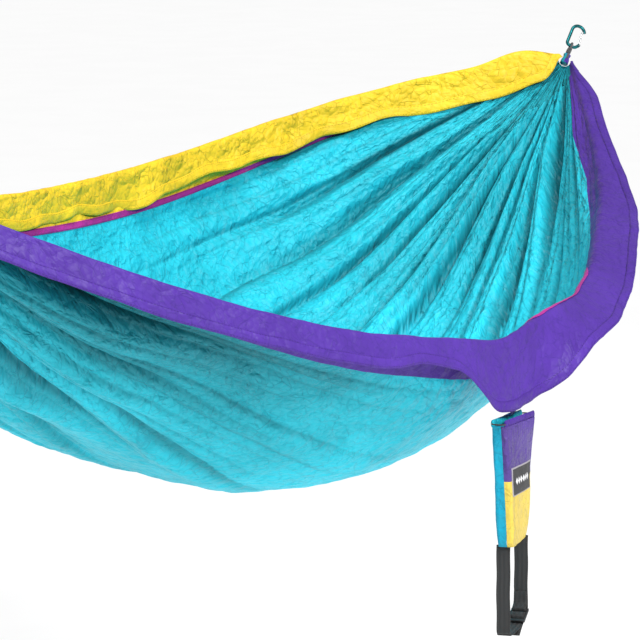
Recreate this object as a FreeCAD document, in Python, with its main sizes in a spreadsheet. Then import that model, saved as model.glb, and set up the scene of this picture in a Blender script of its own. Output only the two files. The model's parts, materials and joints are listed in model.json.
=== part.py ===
"""Gathered-end camping hammock for two, hung between its two carabiners.

Millimetres. The origin is the strap seat of the right-hand carabiner, +X runs along the
ridge line out past that end, +Z is up, and the near side, with the stuff sack, is -Y.

Four local frames are used, each with a Placement into that one:
  bed    origin half-way between the two necks, axes as above
  end    origin at a neck, X along the pull of the suspension, Y across the carabiner
  sack   origin under the near hem, X across the sack, Y through it, Z up
  lock   origin in the ladder lock's upper bar, X down the lock, Y along the bars
"""

import FreeCAD, Part

import math
import os

import Sketcher

Vector = FreeCAD.Vector
Rotation = FreeCAD.Rotation
Placement = FreeCAD.Placement
Constraint = Sketcher.Constraint

SIZES = {
    # the bed: every cross-section is the middle one, shrunk towards the ridge line
    "span": 2390,
    "fullness": 1.8,
    "bed_radius": 552,
    "bed_centre_y": -59,
    "bed_centre_z": -154,
    "near_crest_angle": 205.3,
    "near_seam_angle": 217.8,
    "far_seam_angle": 344,
    "far_crest_angle": 354.4,
    "near_flap_y": -22,
    "near_flap_z": -105,
    "far_flap_y": -80,
    "far_flap_z": -40,
    "cloth": 4,
    "hem_width": 20,
    "seam_width": 14,
    "seam_thickness": 2,
    "seam_clearance": 1.5,
    # the ends
    "pull_angle": 50,
    "carabiner_roll": 49,
    "neck_radius": 9.5,
    "neck_length": 18,
    "gather_length": 71,
    "gather_half_width": 57,
    "gather_half_depth": 27,
    "gather_drop": 46,
    "rope_diameter": 4.5,
    "rope_bend": 5.8,
    "rope_reach": 30,
    "whipping_start": 10.5,
    "whipping_length": 12,
    "whipping_wall": 1.5,
    # the carabiners, from the rope's eye outwards
    "rod_diameter": 6.5,
    "foot_half": 4,
    "foot_bend": 6,
    "spine_end": 66,
    "bow_radius": 13.5,
    "nose_angle": 70,
    "arm_bend": 8,
    "arm_turn": 55,
    "arm_length": 6,
    "wire_diameter": 2,
    "wire_spread": 4.6,
    "wire_bend": 1.6,
    "gate_length": 31.5,
    "gate_angle": 4.5,
    "pin_clearance": 0.05,
    "pin_half_gap": 0.4,
    "gap": 0.3,
    # the stuff sack
    "sack_yaw": 14,
    "sack_width": 135,
    "sack_depth": 29,
    "sack_front_depth": 11,
    "sack_wall": 2,
    "mouth_top": -6,
    "mouth_height": 12,
    "sack_colour_break": -112,
    "sack_bottom": -226,
    "mouth_wall": 5,
    "drawcord_diameter": 2.5,
    "drawcord_overhang": 6.3,
    "drawcord_bend": 6,
    "label_width": 115,
    "label_top": -90,
    "label_height": 50,
    "label_thickness": 1.2,
    "tab_width": 28,
    "tab_thickness": 2,
    "tab_head": 1.5,
    "swing_gap": 2.5,
    # the drawcord's tail and its cord lock, which hangs behind the sack
    "tail_x": 40,
    "tail_reach": 9,
    "tail_bend": 5,
    "tail_bottom": -62,
    "knot_radius": 3.2,
    "lock_level": -38,
    "barrel_radius": 6,
    "barrel_floor": -12,
    "barrel_mouth": 8,
    "barrel_wall": 2,
    "button_radius": 4,
    "button_foot": -4,
    "button_neck": 11,
    "button_top": 13.5,
    "cap_radius": 5.4,
    "button_clearance": 0.1,
    "cord_play": 0.35,
    "press": 2.5,
    "spring_radius": 2.8,
    "spring_wire": 0.35,
    "spring_pitch": 0.85,
    # the compression strap and its ladder lock
    "webbing_width": 25,
    "webbing": 1.6,
    "leg_half_spread": 54,
    "loop_bottom": -385,
    "lock_x": 50,
    "lock_z": -356,
    "lock_tilt": 32,
    "lock_width": 31,
    "lock_thickness": 4,
    "lock_bar": 4.5,
    "lock_pitch": 14,
    "strap_tail": 58,
}

STATIONS = (-0.94, -0.75, -0.5, -0.25, 0, 0.25, 0.5, 0.75, 0.94)

doc = FreeCAD.newDocument("CampingHammock")
sheet = doc.addObject("Spreadsheet::Sheet", "Size")
for row, (alias, number) in enumerate(SIZES.items(), start=1):
    sheet.set(f"A{row}", alias)
    sheet.set(f"B{row}", str(number))
    sheet.setAlias(f"B{row}", alias)
doc.recompute()

nodes = []


# ---------------------------------------------------------------- helpers


def number(expression):
    """The value of an expression on the sheet's cells."""
    return float(sheet.evalExpression(expression))


def keep(item, label, placement):
    """Names a finished sub-part, puts it in place and lists it for export."""
    item.Label = label
    item.Placement = placement
    nodes.append(item)
    return item


def new_body(name):
    return doc.addObject("PartDesign::Body", name)


def new_sketch(body, plane, name, along=None):
    """A sketch on one of the body's own origin planes, shifted along its normal."""
    sketch = body.newObject("Sketcher::SketchObject", name)
    support = next(f for f in body.Origin.OriginFeatures if f.Role == plane)
    sketch.AttachmentSupport = [(support, "")]
    sketch.MapMode = "FlatFace"
    if along is not None:
        sketch.setExpression("AttachmentOffset.Base.z", along)
    return sketch


def pin(sketch, geometry, end, x=None, y=None):
    """Ties one point of the sketch to coordinates worked out from the sheet."""
    for axis, expression in (("X", x), ("Y", y)):
        if expression is not None:
            index = sketch.addConstraint(
                Constraint(f"Distance{axis}", -1, 1, geometry, end, number(expression))
            )
            sketch.setExpression(f"Constraints[{index}]", expression)


def outline(sketch, points):
    """A closed outline of straight lines through points given as expressions."""
    corners = [Vector(number(x), number(y), 0) for x, y in points]
    first = sketch.GeometryCount
    count = len(points)
    for i in range(count):
        sketch.addGeometry(Part.LineSegment(corners[i], corners[(i + 1) % count]), False)
    for i in range(count):
        sketch.addConstraint(
            Constraint("Coincident", first + i, 2, first + (i + 1) % count, 1)
        )
    for i, (x, y) in enumerate(points):
        pin(sketch, first + i, 1, x, y)


def circle(sketch, x, y, radius):
    centre = Vector(number(x), number(y), 0)
    index = sketch.addGeometry(Part.Circle(centre, Vector(0, 0, 1), number(radius)), False)
    pin(sketch, index, 3, x, y)
    constraint = sketch.addConstraint(Constraint("Radius", index, number(radius)))
    sketch.setExpression(f"Constraints[{constraint}]", radius)


def arc(sketch, centre, radius, start, finish):
    """An arc from start to finish degrees, anticlockwise."""
    middle = Vector(number(centre[0]), number(centre[1]), 0)
    angles = [math.radians(number(a)) for a in (start, finish)]
    shape = Part.ArcOfCircle(
        Part.Circle(middle, Vector(0, 0, 1), number(radius)), *angles
    )
    index = sketch.addGeometry(shape, False)
    pin(sketch, index, 3, *centre)
    x, y = polar(centre, radius, start)
    pin(sketch, index, 1, x, y)
    x, y = polar(centre, radius, finish)
    if abs(math.sin(angles[1])) > abs(math.cos(angles[1])):
        pin(sketch, index, 2, x=x)
    else:
        pin(sketch, index, 2, y=y)
    return index


def polar(centre, radius, angle):
    """The point at an angle on a circle, as a pair of expressions."""
    return (
        f"({centre[0]}) + ({radius}) * cos(({angle}) * 1 deg)",
        f"({centre[1]}) + ({radius}) * sin(({angle}) * 1 deg)",
    )


def line(sketch, start, finish):
    ends = [Vector(number(x), number(y), 0) for x, y in (start, finish)]
    index = sketch.addGeometry(Part.LineSegment(*ends), False)
    pin(sketch, index, 1, *start)
    pin(sketch, index, 2, *finish)
    return index


def band(points, thickness):
    """The outline of a strip of that thickness that follows a bent line."""
    flat = [Vector(number(x), number(y), 0) for x, y in points]
    runs = [(b - a).normalize() for a, b in zip(flat, flat[1:])]
    sides = [Vector(-r.y, r.x, 0) for r in runs]
    miters = [sides[0]]
    for before, after in zip(sides, sides[1:]):
        miters.append((before + after) / (1 + before.dot(after)))
    miters.append(sides[-1])

    def shifted(sign):
        return [
            (
                f"({x}) + ({sign * m.x / 2:.5f}) * ({thickness})",
                f"({y}) + ({sign * m.y / 2:.5f}) * ({thickness})",
            )
            for (x, y), m in zip(points, miters)
        ]

    return shifted(1) + shifted(-1)[::-1]


def pad(body, sketch, length, midplane=False, reverse=False):
    feature = body.newObject("PartDesign::Pad", "Pad")
    feature.Profile = sketch
    feature.Midplane = midplane
    feature.Reversed = reverse
    feature.setExpression("Length", length)
    return feature


def pocket_through(body, sketch):
    """Cuts a sketch right through, both ways from its plane."""
    feature = body.newObject("PartDesign::Pocket", "Pocket")
    feature.Profile = sketch
    feature.Type = 1
    feature.Midplane = True
    return feature


def pipe(body, path, edges, plane, along, centre, radius):
    """A round bar swept along the edges of a path sketch."""
    ring = new_sketch(body, plane, "BarSection", along)
    circle(ring, *centre, radius)
    doc.recompute()
    feature = body.newObject("PartDesign::AdditivePipe", "Bar")
    feature.Profile = ring
    feature.Spine = (path, [f"Edge{i + 1}" for i in range(edges)])
    return feature


# ---------------------------------------------------------------- frames

pull = math.radians(number("Size.pull_angle"))
roll = math.radians(number("Size.carabiner_roll"))
PULL = Vector(math.cos(pull), 0, math.sin(pull))
ACROSS = Vector(
    math.sin(roll) * math.sin(pull), -math.cos(roll), -math.sin(roll) * math.cos(pull)
)
SEAT_REACH = number("Size.spine_end + Size.bow_radius - Size.rod_diameter / 2")
SEAT_ACROSS = number("Size.bow_radius - Size.foot_half - Size.foot_bend")
RIGHT_NECK = -(PULL * SEAT_REACH + ACROSS * SEAT_ACROSS)
BED_ORIGIN = RIGHT_NECK - Vector(number("Size.span / 2"), 0, 0)
LEFT_NECK = BED_ORIGIN - Vector(number("Size.span / 2"), 0, 0)
BED = Placement(BED_ORIGIN, Rotation())


def end_frame(neck, side):
    """The frame of one end's fittings; side is 1 at the right end and -1 at the left."""
    along = Vector(side * PULL.x, PULL.y, PULL.z)
    across = Vector(side * ACROSS.x, ACROSS.y, ACROSS.z)
    return Placement(neck, Rotation(along, across, along.cross(across), "ZXY"))


# ---------------------------------------------------------------- the bed


def shrink(station):
    """How much of the middle cross-section is left at a station from -1 to 1."""
    return f"(1 - {abs(station):g}^Size.fullness)"


def on_bed(angle):
    """A point of the middle cross-section at an angle, as expressions."""
    return polar(("Size.bed_centre_y", "Size.bed_centre_z"), "Size.bed_radius", angle)


def loft(name, draw):
    """A sub-part of the bed: draw() puts one cross-section into each station's sketch."""
    body = new_body(name)
    sections = []
    for i, station in enumerate(STATIONS):
        along = f"Size.span / 2 * ({station:g})"
        sketch = new_sketch(body, "YZ_Plane", f"Station{i}", along)
        draw(sketch, shrink(station))
        sections.append(sketch)
    doc.recompute()
    feature = body.newObject("PartDesign::AdditiveLoft", "Cloth")
    feature.Profile = sections[0]
    feature.Sections = sections[1:]
    keep(body, name, BED)


def cloth_strip(name, centre_line, thickness):
    """A strip of cloth: centre_line() gives the bent line of its cross-section."""

    def draw(sketch, scale):
        outline(sketch, band(centre_line(scale), thickness))

    loft(name, draw)


def scaled(point, scale):
    return f"({point[0]}) * {scale}", f"({point[1]}) * {scale}"


def moved(point, direction, distance):
    """The point shifted some distance along a direction given in numbers."""
    return (
        f"{point[0]} + ({direction.x:.5f}) * ({distance})",
        f"{point[1]} + ({direction.y:.5f}) * ({distance})",
    )


def drawn_in(width, scale):
    """The width of a seam or hem, which the pleats take in towards the ends."""
    return f"{width} * (0.3 + 0.7 * {scale})"


def flap_edge(crest, flap):
    return f"{crest[0]} + {flap[0]}", f"{crest[1]} + {flap[1]}"


def main_panel():
    def draw(sketch, scale):
        centre = (f"Size.bed_centre_y * {scale}", f"Size.bed_centre_z * {scale}")
        start, finish = "Size.near_seam_angle", "Size.far_seam_angle"
        outer = f"Size.bed_radius * {scale} + Size.cloth / 2"
        inner = f"Size.bed_radius * {scale} - Size.cloth / 2"
        arcs = [arc(sketch, centre, r, start, finish) for r in (outer, inner)]
        for end, angle in ((1, start), (2, finish)):
            corners = [polar(centre, r, angle) for r in (outer, inner)]
            ends = [Vector(number(x), number(y), 0) for x, y in corners]
            edge = sketch.addGeometry(Part.LineSegment(*ends), False)
            for near_end, curve in zip((1, 2), arcs):
                sketch.addConstraint(Constraint("Coincident", edge, near_end, curve, end))

    loft("main_panel", draw)


def side_panel(name, seam_angle, crest_angle, flap):
    """From the seam up to a folded crest, and over it down to the hem."""
    root, crest = on_bed(seam_angle), on_bed(crest_angle)
    run = Vector(number(crest[0]), number(crest[1]), 0) - Vector(*map(number, root), 0)
    run.normalize()

    def centre_line(scale):
        corners = [scaled(p, scale) for p in (root, crest, flap_edge(crest, flap))]
        return [moved(corners[0], run, "2 * Size.gap")] + corners[1:]

    cloth_strip(name, centre_line, "Size.cloth")


def seam(name, angle):
    """A felled seam: a narrow strip on the inside, over the joint of two panels."""
    degrees = math.radians(number(angle))
    inward = Vector(-math.cos(degrees), -math.sin(degrees), 0)
    tangent = Vector(-math.sin(degrees), math.cos(degrees), 0)
    lift = "(Size.cloth + Size.seam_thickness) / 2 + Size.seam_clearance"

    def centre_line(scale):
        middle = moved(scaled(on_bed(angle), scale), inward, lift)
        half = drawn_in("Size.seam_width / 2", scale)
        return [moved(middle, tangent, f"({side}) * {half}") for side in (-1, 1)]

    cloth_strip(name, centre_line, "Size.seam_thickness")


def hem(name, crest_angle, flap):
    """A rolled hem along a flap's free edge."""
    edge = flap_edge(on_bed(crest_angle), flap)
    step = Vector(number(flap[0]), number(flap[1]), 0).normalize()

    def centre_line(scale):
        start = moved(scaled(edge, scale), step, "Size.gap")
        return [start, moved(start, step, drawn_in("Size.hem_width", scale))]

    cloth_strip(name, centre_line, "Size.cloth * 1.5")


def make_bed():
    near_flap = ("Size.near_flap_y", "Size.near_flap_z")
    far_flap = ("Size.far_flap_y", "Size.far_flap_z")
    near, far = "Size.near_crest_angle", "Size.far_crest_angle"
    main_panel()
    side_panel("near_side_panel", "Size.near_seam_angle", near, near_flap)
    side_panel("far_side_panel", "Size.far_seam_angle", far, far_flap)
    seam("near_seam", "Size.near_seam_angle")
    seam("far_seam", "Size.far_seam_angle")
    hem("near_hem", near, near_flap)
    hem("far_hem", far, far_flap)


# ---------------------------------------------------------------- the ends


def rope_ring(name, radius, frame):
    """A closed loop of rope: two straight legs and a half-ring at either end."""
    pieces = []
    for end, (reach, turn) in enumerate((("0", 90), ("Size.rope_reach", -90))):
        bend = doc.addObject("Part::Torus", f"{name}_bend{end}")
        bend.setExpression("Radius1", "Size.rope_bend")
        bend.setExpression("Radius2", radius)
        bend.Angle3 = 180
        # the half-ring lies in the frame's XZ plane and opens towards the other end
        bend.Placement = Placement(
            Vector(number(reach), 0, 0),
            Rotation(Vector(1, 0, 0), 90).multiply(Rotation(Vector(0, 0, 1), turn)),
        )
        pieces.append(bend)
    for side in (-1, 1):
        leg = doc.addObject("Part::Cylinder", f"{name}_leg{side + 1}")
        leg.setExpression("Radius", radius)
        leg.setExpression("Height", "Size.rope_reach")
        leg.Placement = Placement(
            Vector(0, 0, side * number("Size.rope_bend")), Rotation(Vector(0, 1, 0), 90)
        )
        pieces.append(leg)
    ring = doc.addObject("Part::MultiFuse", name)
    ring.Shapes = pieces
    ring.Placement = frame
    return ring


def end_gather(name, neck, side, frame):
    """The sewn end channel, drawn up on the rope into a narrow neck of pleats."""
    mouth = doc.addObject("Part::Ellipse", f"{name}_mouth")
    mouth.setExpression("MajorRadius", "Size.gather_half_width")
    mouth.setExpression("MinorRadius", "Size.gather_half_depth")
    mouth.Placement = Placement(
        neck
        + Vector(-side * number("Size.gather_length"), 0, -number("Size.gather_drop")),
        Rotation(Vector(0, 1, 0), Vector(0, 0, 1), Vector(1, 0, 0), "ZXY"),
    )
    along = frame.Rotation.multVec(Vector(1, 0, 0))
    half = number("Size.neck_length / 2")
    throat = doc.addObject("Part::Ellipse", f"{name}_throat")
    throat.setExpression("MajorRadius", "Size.neck_radius")
    throat.setExpression("MinorRadius", "Size.neck_radius")
    up = Vector(0, 1, 0).cross(along) * -side
    throat.Placement = Placement(
        neck - along * half, Rotation(Vector(0, 1, 0), up, Vector(0, 1, 0).cross(up), "ZXY")
    )
    cone = doc.addObject("Part::Loft", f"{name}_cone")
    cone.Sections = [mouth, throat]
    cone.Solid = True
    barrel = doc.addObject("Part::Cylinder", f"{name}_barrel")
    barrel.setExpression("Radius", "Size.neck_radius")
    barrel.setExpression("Height", "Size.neck_length")
    barrel.Placement = Placement(
        neck - along * half, frame.Rotation.multiply(Rotation(Vector(0, 1, 0), 90))
    )
    bundle = doc.addObject("Part::Fuse", f"{name}_bundle")
    bundle.Base = cone
    bundle.Tool = barrel
    passage = rope_ring(f"{name}_passage", "Size.rope_diameter / 2 + Size.pin_clearance", frame)
    gather = doc.addObject("Part::Cut", name)
    gather.Base = bundle
    gather.Tool = passage
    keep(gather, name, Placement())


def whipping(name, frame):
    """The band that lashes the two legs of the rope loop together."""
    body = new_body(name)
    plan = new_sketch(body, "YZ_Plane", "Plan", "Size.whipping_start")
    half = "(Size.rope_diameter / 2 + Size.whipping_wall)"
    for side, start, finish in ((1, "0", "180"), (-1, "180", "360")):
        arc(plan, ("0", f"({side}) * Size.rope_bend"), half, start, finish)
    for side in (-1, 1):
        line(
            plan,
            (f"({side}) * {half}", "-Size.rope_bend"),
            (f"({side}) * {half}", "Size.rope_bend"),
        )
    pad(body, plan, "Size.whipping_length")
    holes = new_sketch(body, "YZ_Plane", "Holes", "Size.whipping_start")
    for side in (-1, 1):
        radius = "Size.rope_diameter / 2 + Size.pin_clearance"
        circle(holes, "0", f"({side}) * Size.rope_bend", radius)
    doc.recompute()
    pocket_through(body, holes)
    keep(body, name, frame)


FOOT_X = "Size.rope_reach"
SPINE_Y = "-(Size.foot_half + Size.foot_bend)"
BOW = ("Size.spine_end", f"{SPINE_Y} + Size.bow_radius")
ARM = (f"{FOOT_X} + Size.arm_bend", "Size.foot_half")
ARM_TURN = "180 - Size.arm_turn"
ARM_START = polar(ARM, "Size.arm_bend", ARM_TURN)
HINGE = (
    f"{ARM_START[0]} + Size.arm_length * sin(Size.arm_turn * 1 deg)",
    f"{ARM_START[1]} + Size.arm_length * cos(Size.arm_turn * 1 deg)",
)


def carabiner_body(name, frame):
    """One bent rod: hinge arm, foot in the rope's eye, spine, top bow and nose."""
    body = new_body(name)
    path = new_sketch(body, "XY_Plane", "Path")
    heel = (f"{FOOT_X} + Size.foot_bend", "-Size.foot_half")
    line(path, HINGE, ARM_START)
    arc(path, ARM, "Size.arm_bend", ARM_TURN, "180")
    line(path, (FOOT_X, "Size.foot_half"), (FOOT_X, "-Size.foot_half"))
    arc(path, heel, "Size.foot_bend", "180", "270")
    line(path, (heel[0], SPINE_Y), ("Size.spine_end", SPINE_Y))
    arc(path, BOW, "Size.bow_radius", "-90", "Size.nose_angle")
    pipe(body, path, 6, "XZ_Plane", "0", (FOOT_X, "0"), "Size.rod_diameter / 2")
    eye = new_sketch(body, "XY_Plane", "HingeHole")
    circle(eye, *HINGE, "Size.wire_diameter / 2 + Size.pin_clearance")
    boss = new_sketch(body, "XY_Plane", "HingeBoss")
    circle(boss, *HINGE, "Size.rod_diameter / 2")
    pad(body, boss, "Size.rod_diameter * 0.9", midplane=True)
    doc.recompute()
    pocket_through(body, eye)
    keep(body, name, frame)


def gate_wire(name, frame):
    """A bent spring wire: both ends are pins in the arm's hole, the loop meets the nose."""
    body = new_body(name)
    hinge_x, hinge_y = (number(e) for e in HINGE)
    path = new_sketch(body, "XZ_Plane", "Wire")
    corner = "Size.wire_bend"
    spread = "Size.wire_spread"
    length = "Size.gate_length"
    inner = "Size.pin_half_gap"
    # lines run from the first pin out along one leg, across the loop and back
    line(path, ("0", f"-({inner})"), ("0", f"-({spread}) + {corner}"))
    arc(path, (corner, f"-({spread}) + {corner}"), corner, "180", "270")
    line(path, (corner, f"-({spread})"), (f"{length} - {corner}", f"-({spread})"))
    arc(path, (f"{length} - {corner}", f"-({spread}) + {corner}"), corner, "270", "360")
    line(path, (length, f"-({spread}) + {corner}"), (length, f"{spread} - {corner}"))
    arc(path, (f"{length} - {corner}", f"{spread} - {corner}"), corner, "0", "90")
    line(path, (f"{length} - {corner}", spread), (corner, spread))
    arc(path, (corner, f"{spread} - {corner}"), corner, "90", "180")
    line(path, ("0", f"{spread} - {corner}"), ("0", inner))
    pipe(body, path, 9, "XY_Plane", f"-({inner})", ("0", "0"), "Size.wire_diameter / 2")
    local = Placement(
        Vector(hinge_x, hinge_y, 0), Rotation(Vector(0, 0, 1), -number("Size.gate_angle"))
    )
    keep(body, name, frame.multiply(local))


def make_end(suffix, neck, side):
    frame = end_frame(neck, side)
    end_gather(f"end_gather_{suffix}", neck, side, frame)
    loop = rope_ring(f"rope_loop_{suffix}", "Size.rope_diameter / 2", frame)
    keep(loop, f"rope_loop_{suffix}", frame)
    whipping(f"whipping_{suffix}", frame)
    carabiner_body(f"carabiner_{suffix}", frame)
    gate_wire(f"gate_{suffix}", frame)


# ---------------------------------------------------------------- the stuff sack

near_crest = on_bed("Size.near_crest_angle")
flap_step = Vector(number("Size.near_flap_y"), number("Size.near_flap_z"), 0)
flap_length = flap_step.Length + number("Size.hem_width + Size.gap")
hem_edge = (
    Vector(number(near_crest[0]), number(near_crest[1]), 0)
    + flap_step.normalize() * flap_length
)
SACK_ORIGIN = BED_ORIGIN + Vector(0, hem_edge.x, hem_edge.y - number("Size.swing_gap"))
SACK = Placement(SACK_ORIGIN, Rotation(Vector(0, 0, 1), number("Size.sack_yaw")))

HALF_W = "Size.sack_width / 2"
HALF_D = "Size.sack_depth / 2"
PANEL_TOP = "Size.mouth_top - Size.mouth_height - Size.gap"
SPLIT_Y = "-Size.sack_depth / 2 + Size.sack_front_depth"


def tray(name, outside, inside, top, bottom, floor):
    """A panel with a short return down each side, and a floor if it is the lowest."""
    body = new_body(name)
    inner_x = "Size.sack_width / 2 - Size.sack_wall"
    wall = f"({outside}) + ({'1' if outside.startswith('-') else '-1'}) * Size.sack_wall"
    profile = [
        (f"-({HALF_W})", outside),
        (HALF_W, outside),
        (HALF_W, inside),
        (inner_x, inside),
        (inner_x, wall),
        (f"-({inner_x})", wall),
        (f"-({inner_x})", inside),
        (f"-({HALF_W})", inside),
    ]
    section = new_sketch(body, "XY_Plane", "Section", bottom)
    outline(section, profile)
    pad(body, section, f"({top}) - ({bottom})")
    if floor:
        base = new_sketch(body, "XY_Plane", "Floor", bottom)
        outline(base, profile[:3] + [profile[7]])
        pad(body, base, "Size.sack_wall")
    keep(body, name, SACK)


def mouth_channel(name, side):
    """One side of the drawcord channel along the sack's mouth."""
    body = new_body(name)
    outer = f"({side}) * Size.sack_depth / 2"
    inner = f"({side}) * (Size.sack_depth / 2 - Size.mouth_wall)"
    plan = new_sketch(body, "XY_Plane", "Plan", "Size.mouth_top")
    outline(
        plan,
        [
            (f"-({HALF_W})", outer),
            (HALF_W, outer),
            (HALF_W, inner),
            (f"-({HALF_W})", inner),
        ],
    )
    pad(body, plan, "Size.mouth_height", reverse=True)
    bore = new_sketch(body, "YZ_Plane", "Bore")
    middle = f"({side}) * (Size.sack_depth / 2 - Size.mouth_wall / 2)"
    radius = "Size.drawcord_diameter / 2 + Size.pin_clearance"
    circle(bore, middle, "Size.mouth_top - Size.mouth_height / 2", radius)
    doc.recompute()
    pocket_through(body, bore)
    keep(body, name, SACK)


def drawcord():
    """One ring of cord through both channels, bare where it crosses the mouth's corners."""
    body = new_body("drawcord")
    level = "Size.mouth_top - Size.mouth_height / 2"
    bend = "Size.drawcord_bend"
    x = f"({HALF_W} + Size.drawcord_overhang)"
    y = "(Size.sack_depth / 2 - Size.mouth_wall / 2)"
    path = new_sketch(body, "XY_Plane", "Path", level)
    corners = ((1, -1, "270", "360"), (1, 1, "0", "90"), (-1, 1, "90", "180"), (-1, -1, "180", "270"))
    for side_x, side_y, start, finish in corners:
        centre = (f"({side_x}) * ({x} - {bend})", f"({side_y}) * ({y} - {bend})")
        arc(path, centre, bend, start, finish)
        if side_x == side_y:
            ahead = (centre[0], f"({side_y}) * {y}")
            line(path, ahead, (f"({-side_x}) * ({x} - {bend})", ahead[1]))
        else:
            ahead = (f"({side_x}) * {x}", centre[1])
            line(path, ahead, (ahead[0], f"({-side_y}) * ({y} - {bend})"))
    ring = new_sketch(body, "YZ_Plane", "BarSection", "0")
    circle(ring, f"-{y}", level, "Size.drawcord_diameter / 2")
    doc.recompute()
    feature = body.newObject("PartDesign::AdditivePipe", "Cord")
    feature.Profile = ring
    feature.Spine = (path, [f"Edge{i + 1}" for i in range(8)])
    keep(body, "drawcord", SACK)


def sack_label():
    """The rectangular patch that is sewn to the front of the sack."""
    body = new_body("sack_label")
    plan = new_sketch(body, "XZ_Plane", "Plan", f"{HALF_D} + Size.gap / 3")
    left, right = "-Size.label_width / 2", "Size.label_width / 2"
    top, bottom = "Size.label_top", "Size.label_top - Size.label_height"
    outline(plan, [(left, top), (right, top), (right, bottom), (left, bottom)])
    pad(body, plan, "Size.label_thickness")
    keep(body, "sack_label", SACK)


def hanging_tab():
    """The tab that joins the sack's back channel to the hammock's hem."""
    body = new_body("hanging_tab")
    section = new_sketch(body, "YZ_Plane", "Section")
    half = "Size.tab_thickness / 2"
    shelf = "Size.mouth_top + Size.gap / 3"
    outline(
        section,
        [
            (f"-({half})", "-Size.tab_head"),
            (f"-({half})", shelf),
            (HALF_D, shelf),
            (HALF_D, f"{shelf} + Size.tab_thickness"),
            (half, f"{shelf} + Size.tab_thickness"),
            (half, "-Size.tab_head"),
        ],
    )
    pad(body, section, "Size.tab_width", midplane=True)
    keep(body, "hanging_tab", SACK)


# ---------------------------------------------------------------- the cord lock

CORD_LOCK = SACK.multiply(
    Placement(
        Vector(
            number("Size.tail_x"),
            number("Size.sack_depth / 2 + Size.tail_reach"),
            number("Size.lock_level"),
        ),
        Rotation(),
    )
)


def drawcord_tail():
    """Both ends of the drawcord as one: out of the back channel and straight down."""
    body = new_body("drawcord_tail")
    start = "Size.sack_depth / 2 + Size.gap"
    level = "Size.mouth_top - Size.mouth_height / 2"
    turn = ("Size.sack_depth / 2 + Size.tail_reach - Size.tail_bend", f"{level} - Size.tail_bend")
    down = ("Size.sack_depth / 2 + Size.tail_reach", "Size.tail_bottom")
    path = new_sketch(body, "YZ_Plane", "Path", "Size.tail_x")
    line(path, (start, level), (turn[0], level))
    arc(path, turn, "Size.tail_bend", "0", "90")
    line(path, (down[0], turn[1]), down)
    radius = "Size.drawcord_diameter / 2"
    pipe(body, path, 3, "XZ_Plane", f"-({start})", ("Size.tail_x", level), radius)
    keep(body, "drawcord_tail", SACK)


def drawcord_knot():
    """The knot that keeps the cord lock on the tail."""
    ball = doc.addObject("Part::Sphere", "knot_ball")
    ball.setExpression("Radius", "Size.knot_radius")
    cord = doc.addObject("Part::Cylinder", "knot_passage")
    cord.setExpression("Radius", "Size.drawcord_diameter / 2 + Size.pin_clearance")
    cord.setExpression("Height", "2 * Size.knot_radius")
    knot = doc.addObject("Part::Cut", "drawcord_knot")
    knot.Base = ball
    knot.Tool = cord
    drop = number("Size.tail_bottom - Size.lock_level - Size.gap")
    keep(knot, "drawcord_knot", CORD_LOCK.multiply(Placement(Vector(0, 0, drop), Rotation())))


def cord_lock_barrel():
    """A cup with a hole through both walls for the cord."""
    body = new_body("cord_lock_barrel")
    cup = new_sketch(body, "YZ_Plane", "Cup", "Size.barrel_floor")
    circle(cup, "0", "0", "Size.barrel_radius")
    pad(body, cup, "Size.barrel_mouth - Size.barrel_floor")
    bore = new_sketch(body, "YZ_Plane", "Bore", "Size.barrel_mouth")
    circle(bore, "0", "0", "Size.button_radius + Size.button_clearance")
    doc.recompute()
    hollow = body.newObject("PartDesign::Pocket", "Hollow")
    hollow.Profile = bore
    hollow.setExpression("Length", "Size.barrel_mouth - Size.barrel_floor - Size.barrel_wall")
    hole = new_sketch(body, "XY_Plane", "CordHole")
    circle(hole, "0", "0", "Size.drawcord_diameter / 2 + Size.cord_play")
    doc.recompute()
    pocket_through(body, hole)
    keep(body, "cord_lock_barrel", CORD_LOCK)


def cord_lock_button():
    """A plunger with a cap, and a slot that lets the cord by at any depth of press."""
    body = new_body("cord_lock_button")
    half = new_sketch(body, "XY_Plane", "Half")
    outline(
        half,
        [
            ("Size.button_foot", "0"),
            ("Size.button_foot", "Size.button_radius"),
            ("Size.button_neck", "Size.button_radius"),
            ("Size.button_neck", "Size.cap_radius"),
            ("Size.button_top", "Size.cap_radius"),
            ("Size.button_top", "0"),
        ],
    )
    turned = body.newObject("PartDesign::Revolution", "Turned")
    turned.Profile = half
    turned.ReferenceAxis = (half, ["H_Axis"])
    turned.Angle = 360
    slot = new_sketch(body, "XY_Plane", "Slot")
    play = "(Size.drawcord_diameter / 2 + Size.cord_play)"
    left, right = f"-{play}", f"{play} + Size.press"
    outline(slot, [(left, f"-{play}"), (right, f"-{play}"), (right, play), (left, play)])
    doc.recompute()
    pocket_through(body, slot)
    keep(body, "cord_lock_button", CORD_LOCK)


def cord_lock_spring():
    """The coil at the foot of the barrel, at the height that it has when pressed."""
    coil = doc.addObject("Part::Helix", "spring_coil")
    coil.setExpression("Pitch", "Size.spring_pitch")
    coil.setExpression("Height", "3 * Size.spring_pitch")
    coil.setExpression("Radius", "Size.spring_radius")
    coil.SegmentLength = 0.5  # one face for each half turn
    wire = doc.addObject("Part::Circle", "spring_wire")
    wire.setExpression("Radius", "Size.spring_wire")
    wire.Placement = Placement(
        Vector(number("Size.spring_radius"), 0, 0), Rotation(Vector(1, 0, 0), 90)
    )
    spring = doc.addObject("Part::Sweep", "cord_lock_spring")
    spring.Sections = [wire]
    spring.Spine = (coil, [])
    spring.Solid = True
    spring.Frenet = True
    foot = number("Size.barrel_floor + Size.barrel_wall + Size.spring_wire + 0.05")
    upright = Placement(Vector(foot, 0, 0), Rotation(Vector(0, 1, 0), 90))
    keep(spring, "cord_lock_spring", CORD_LOCK.multiply(upright))


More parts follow.
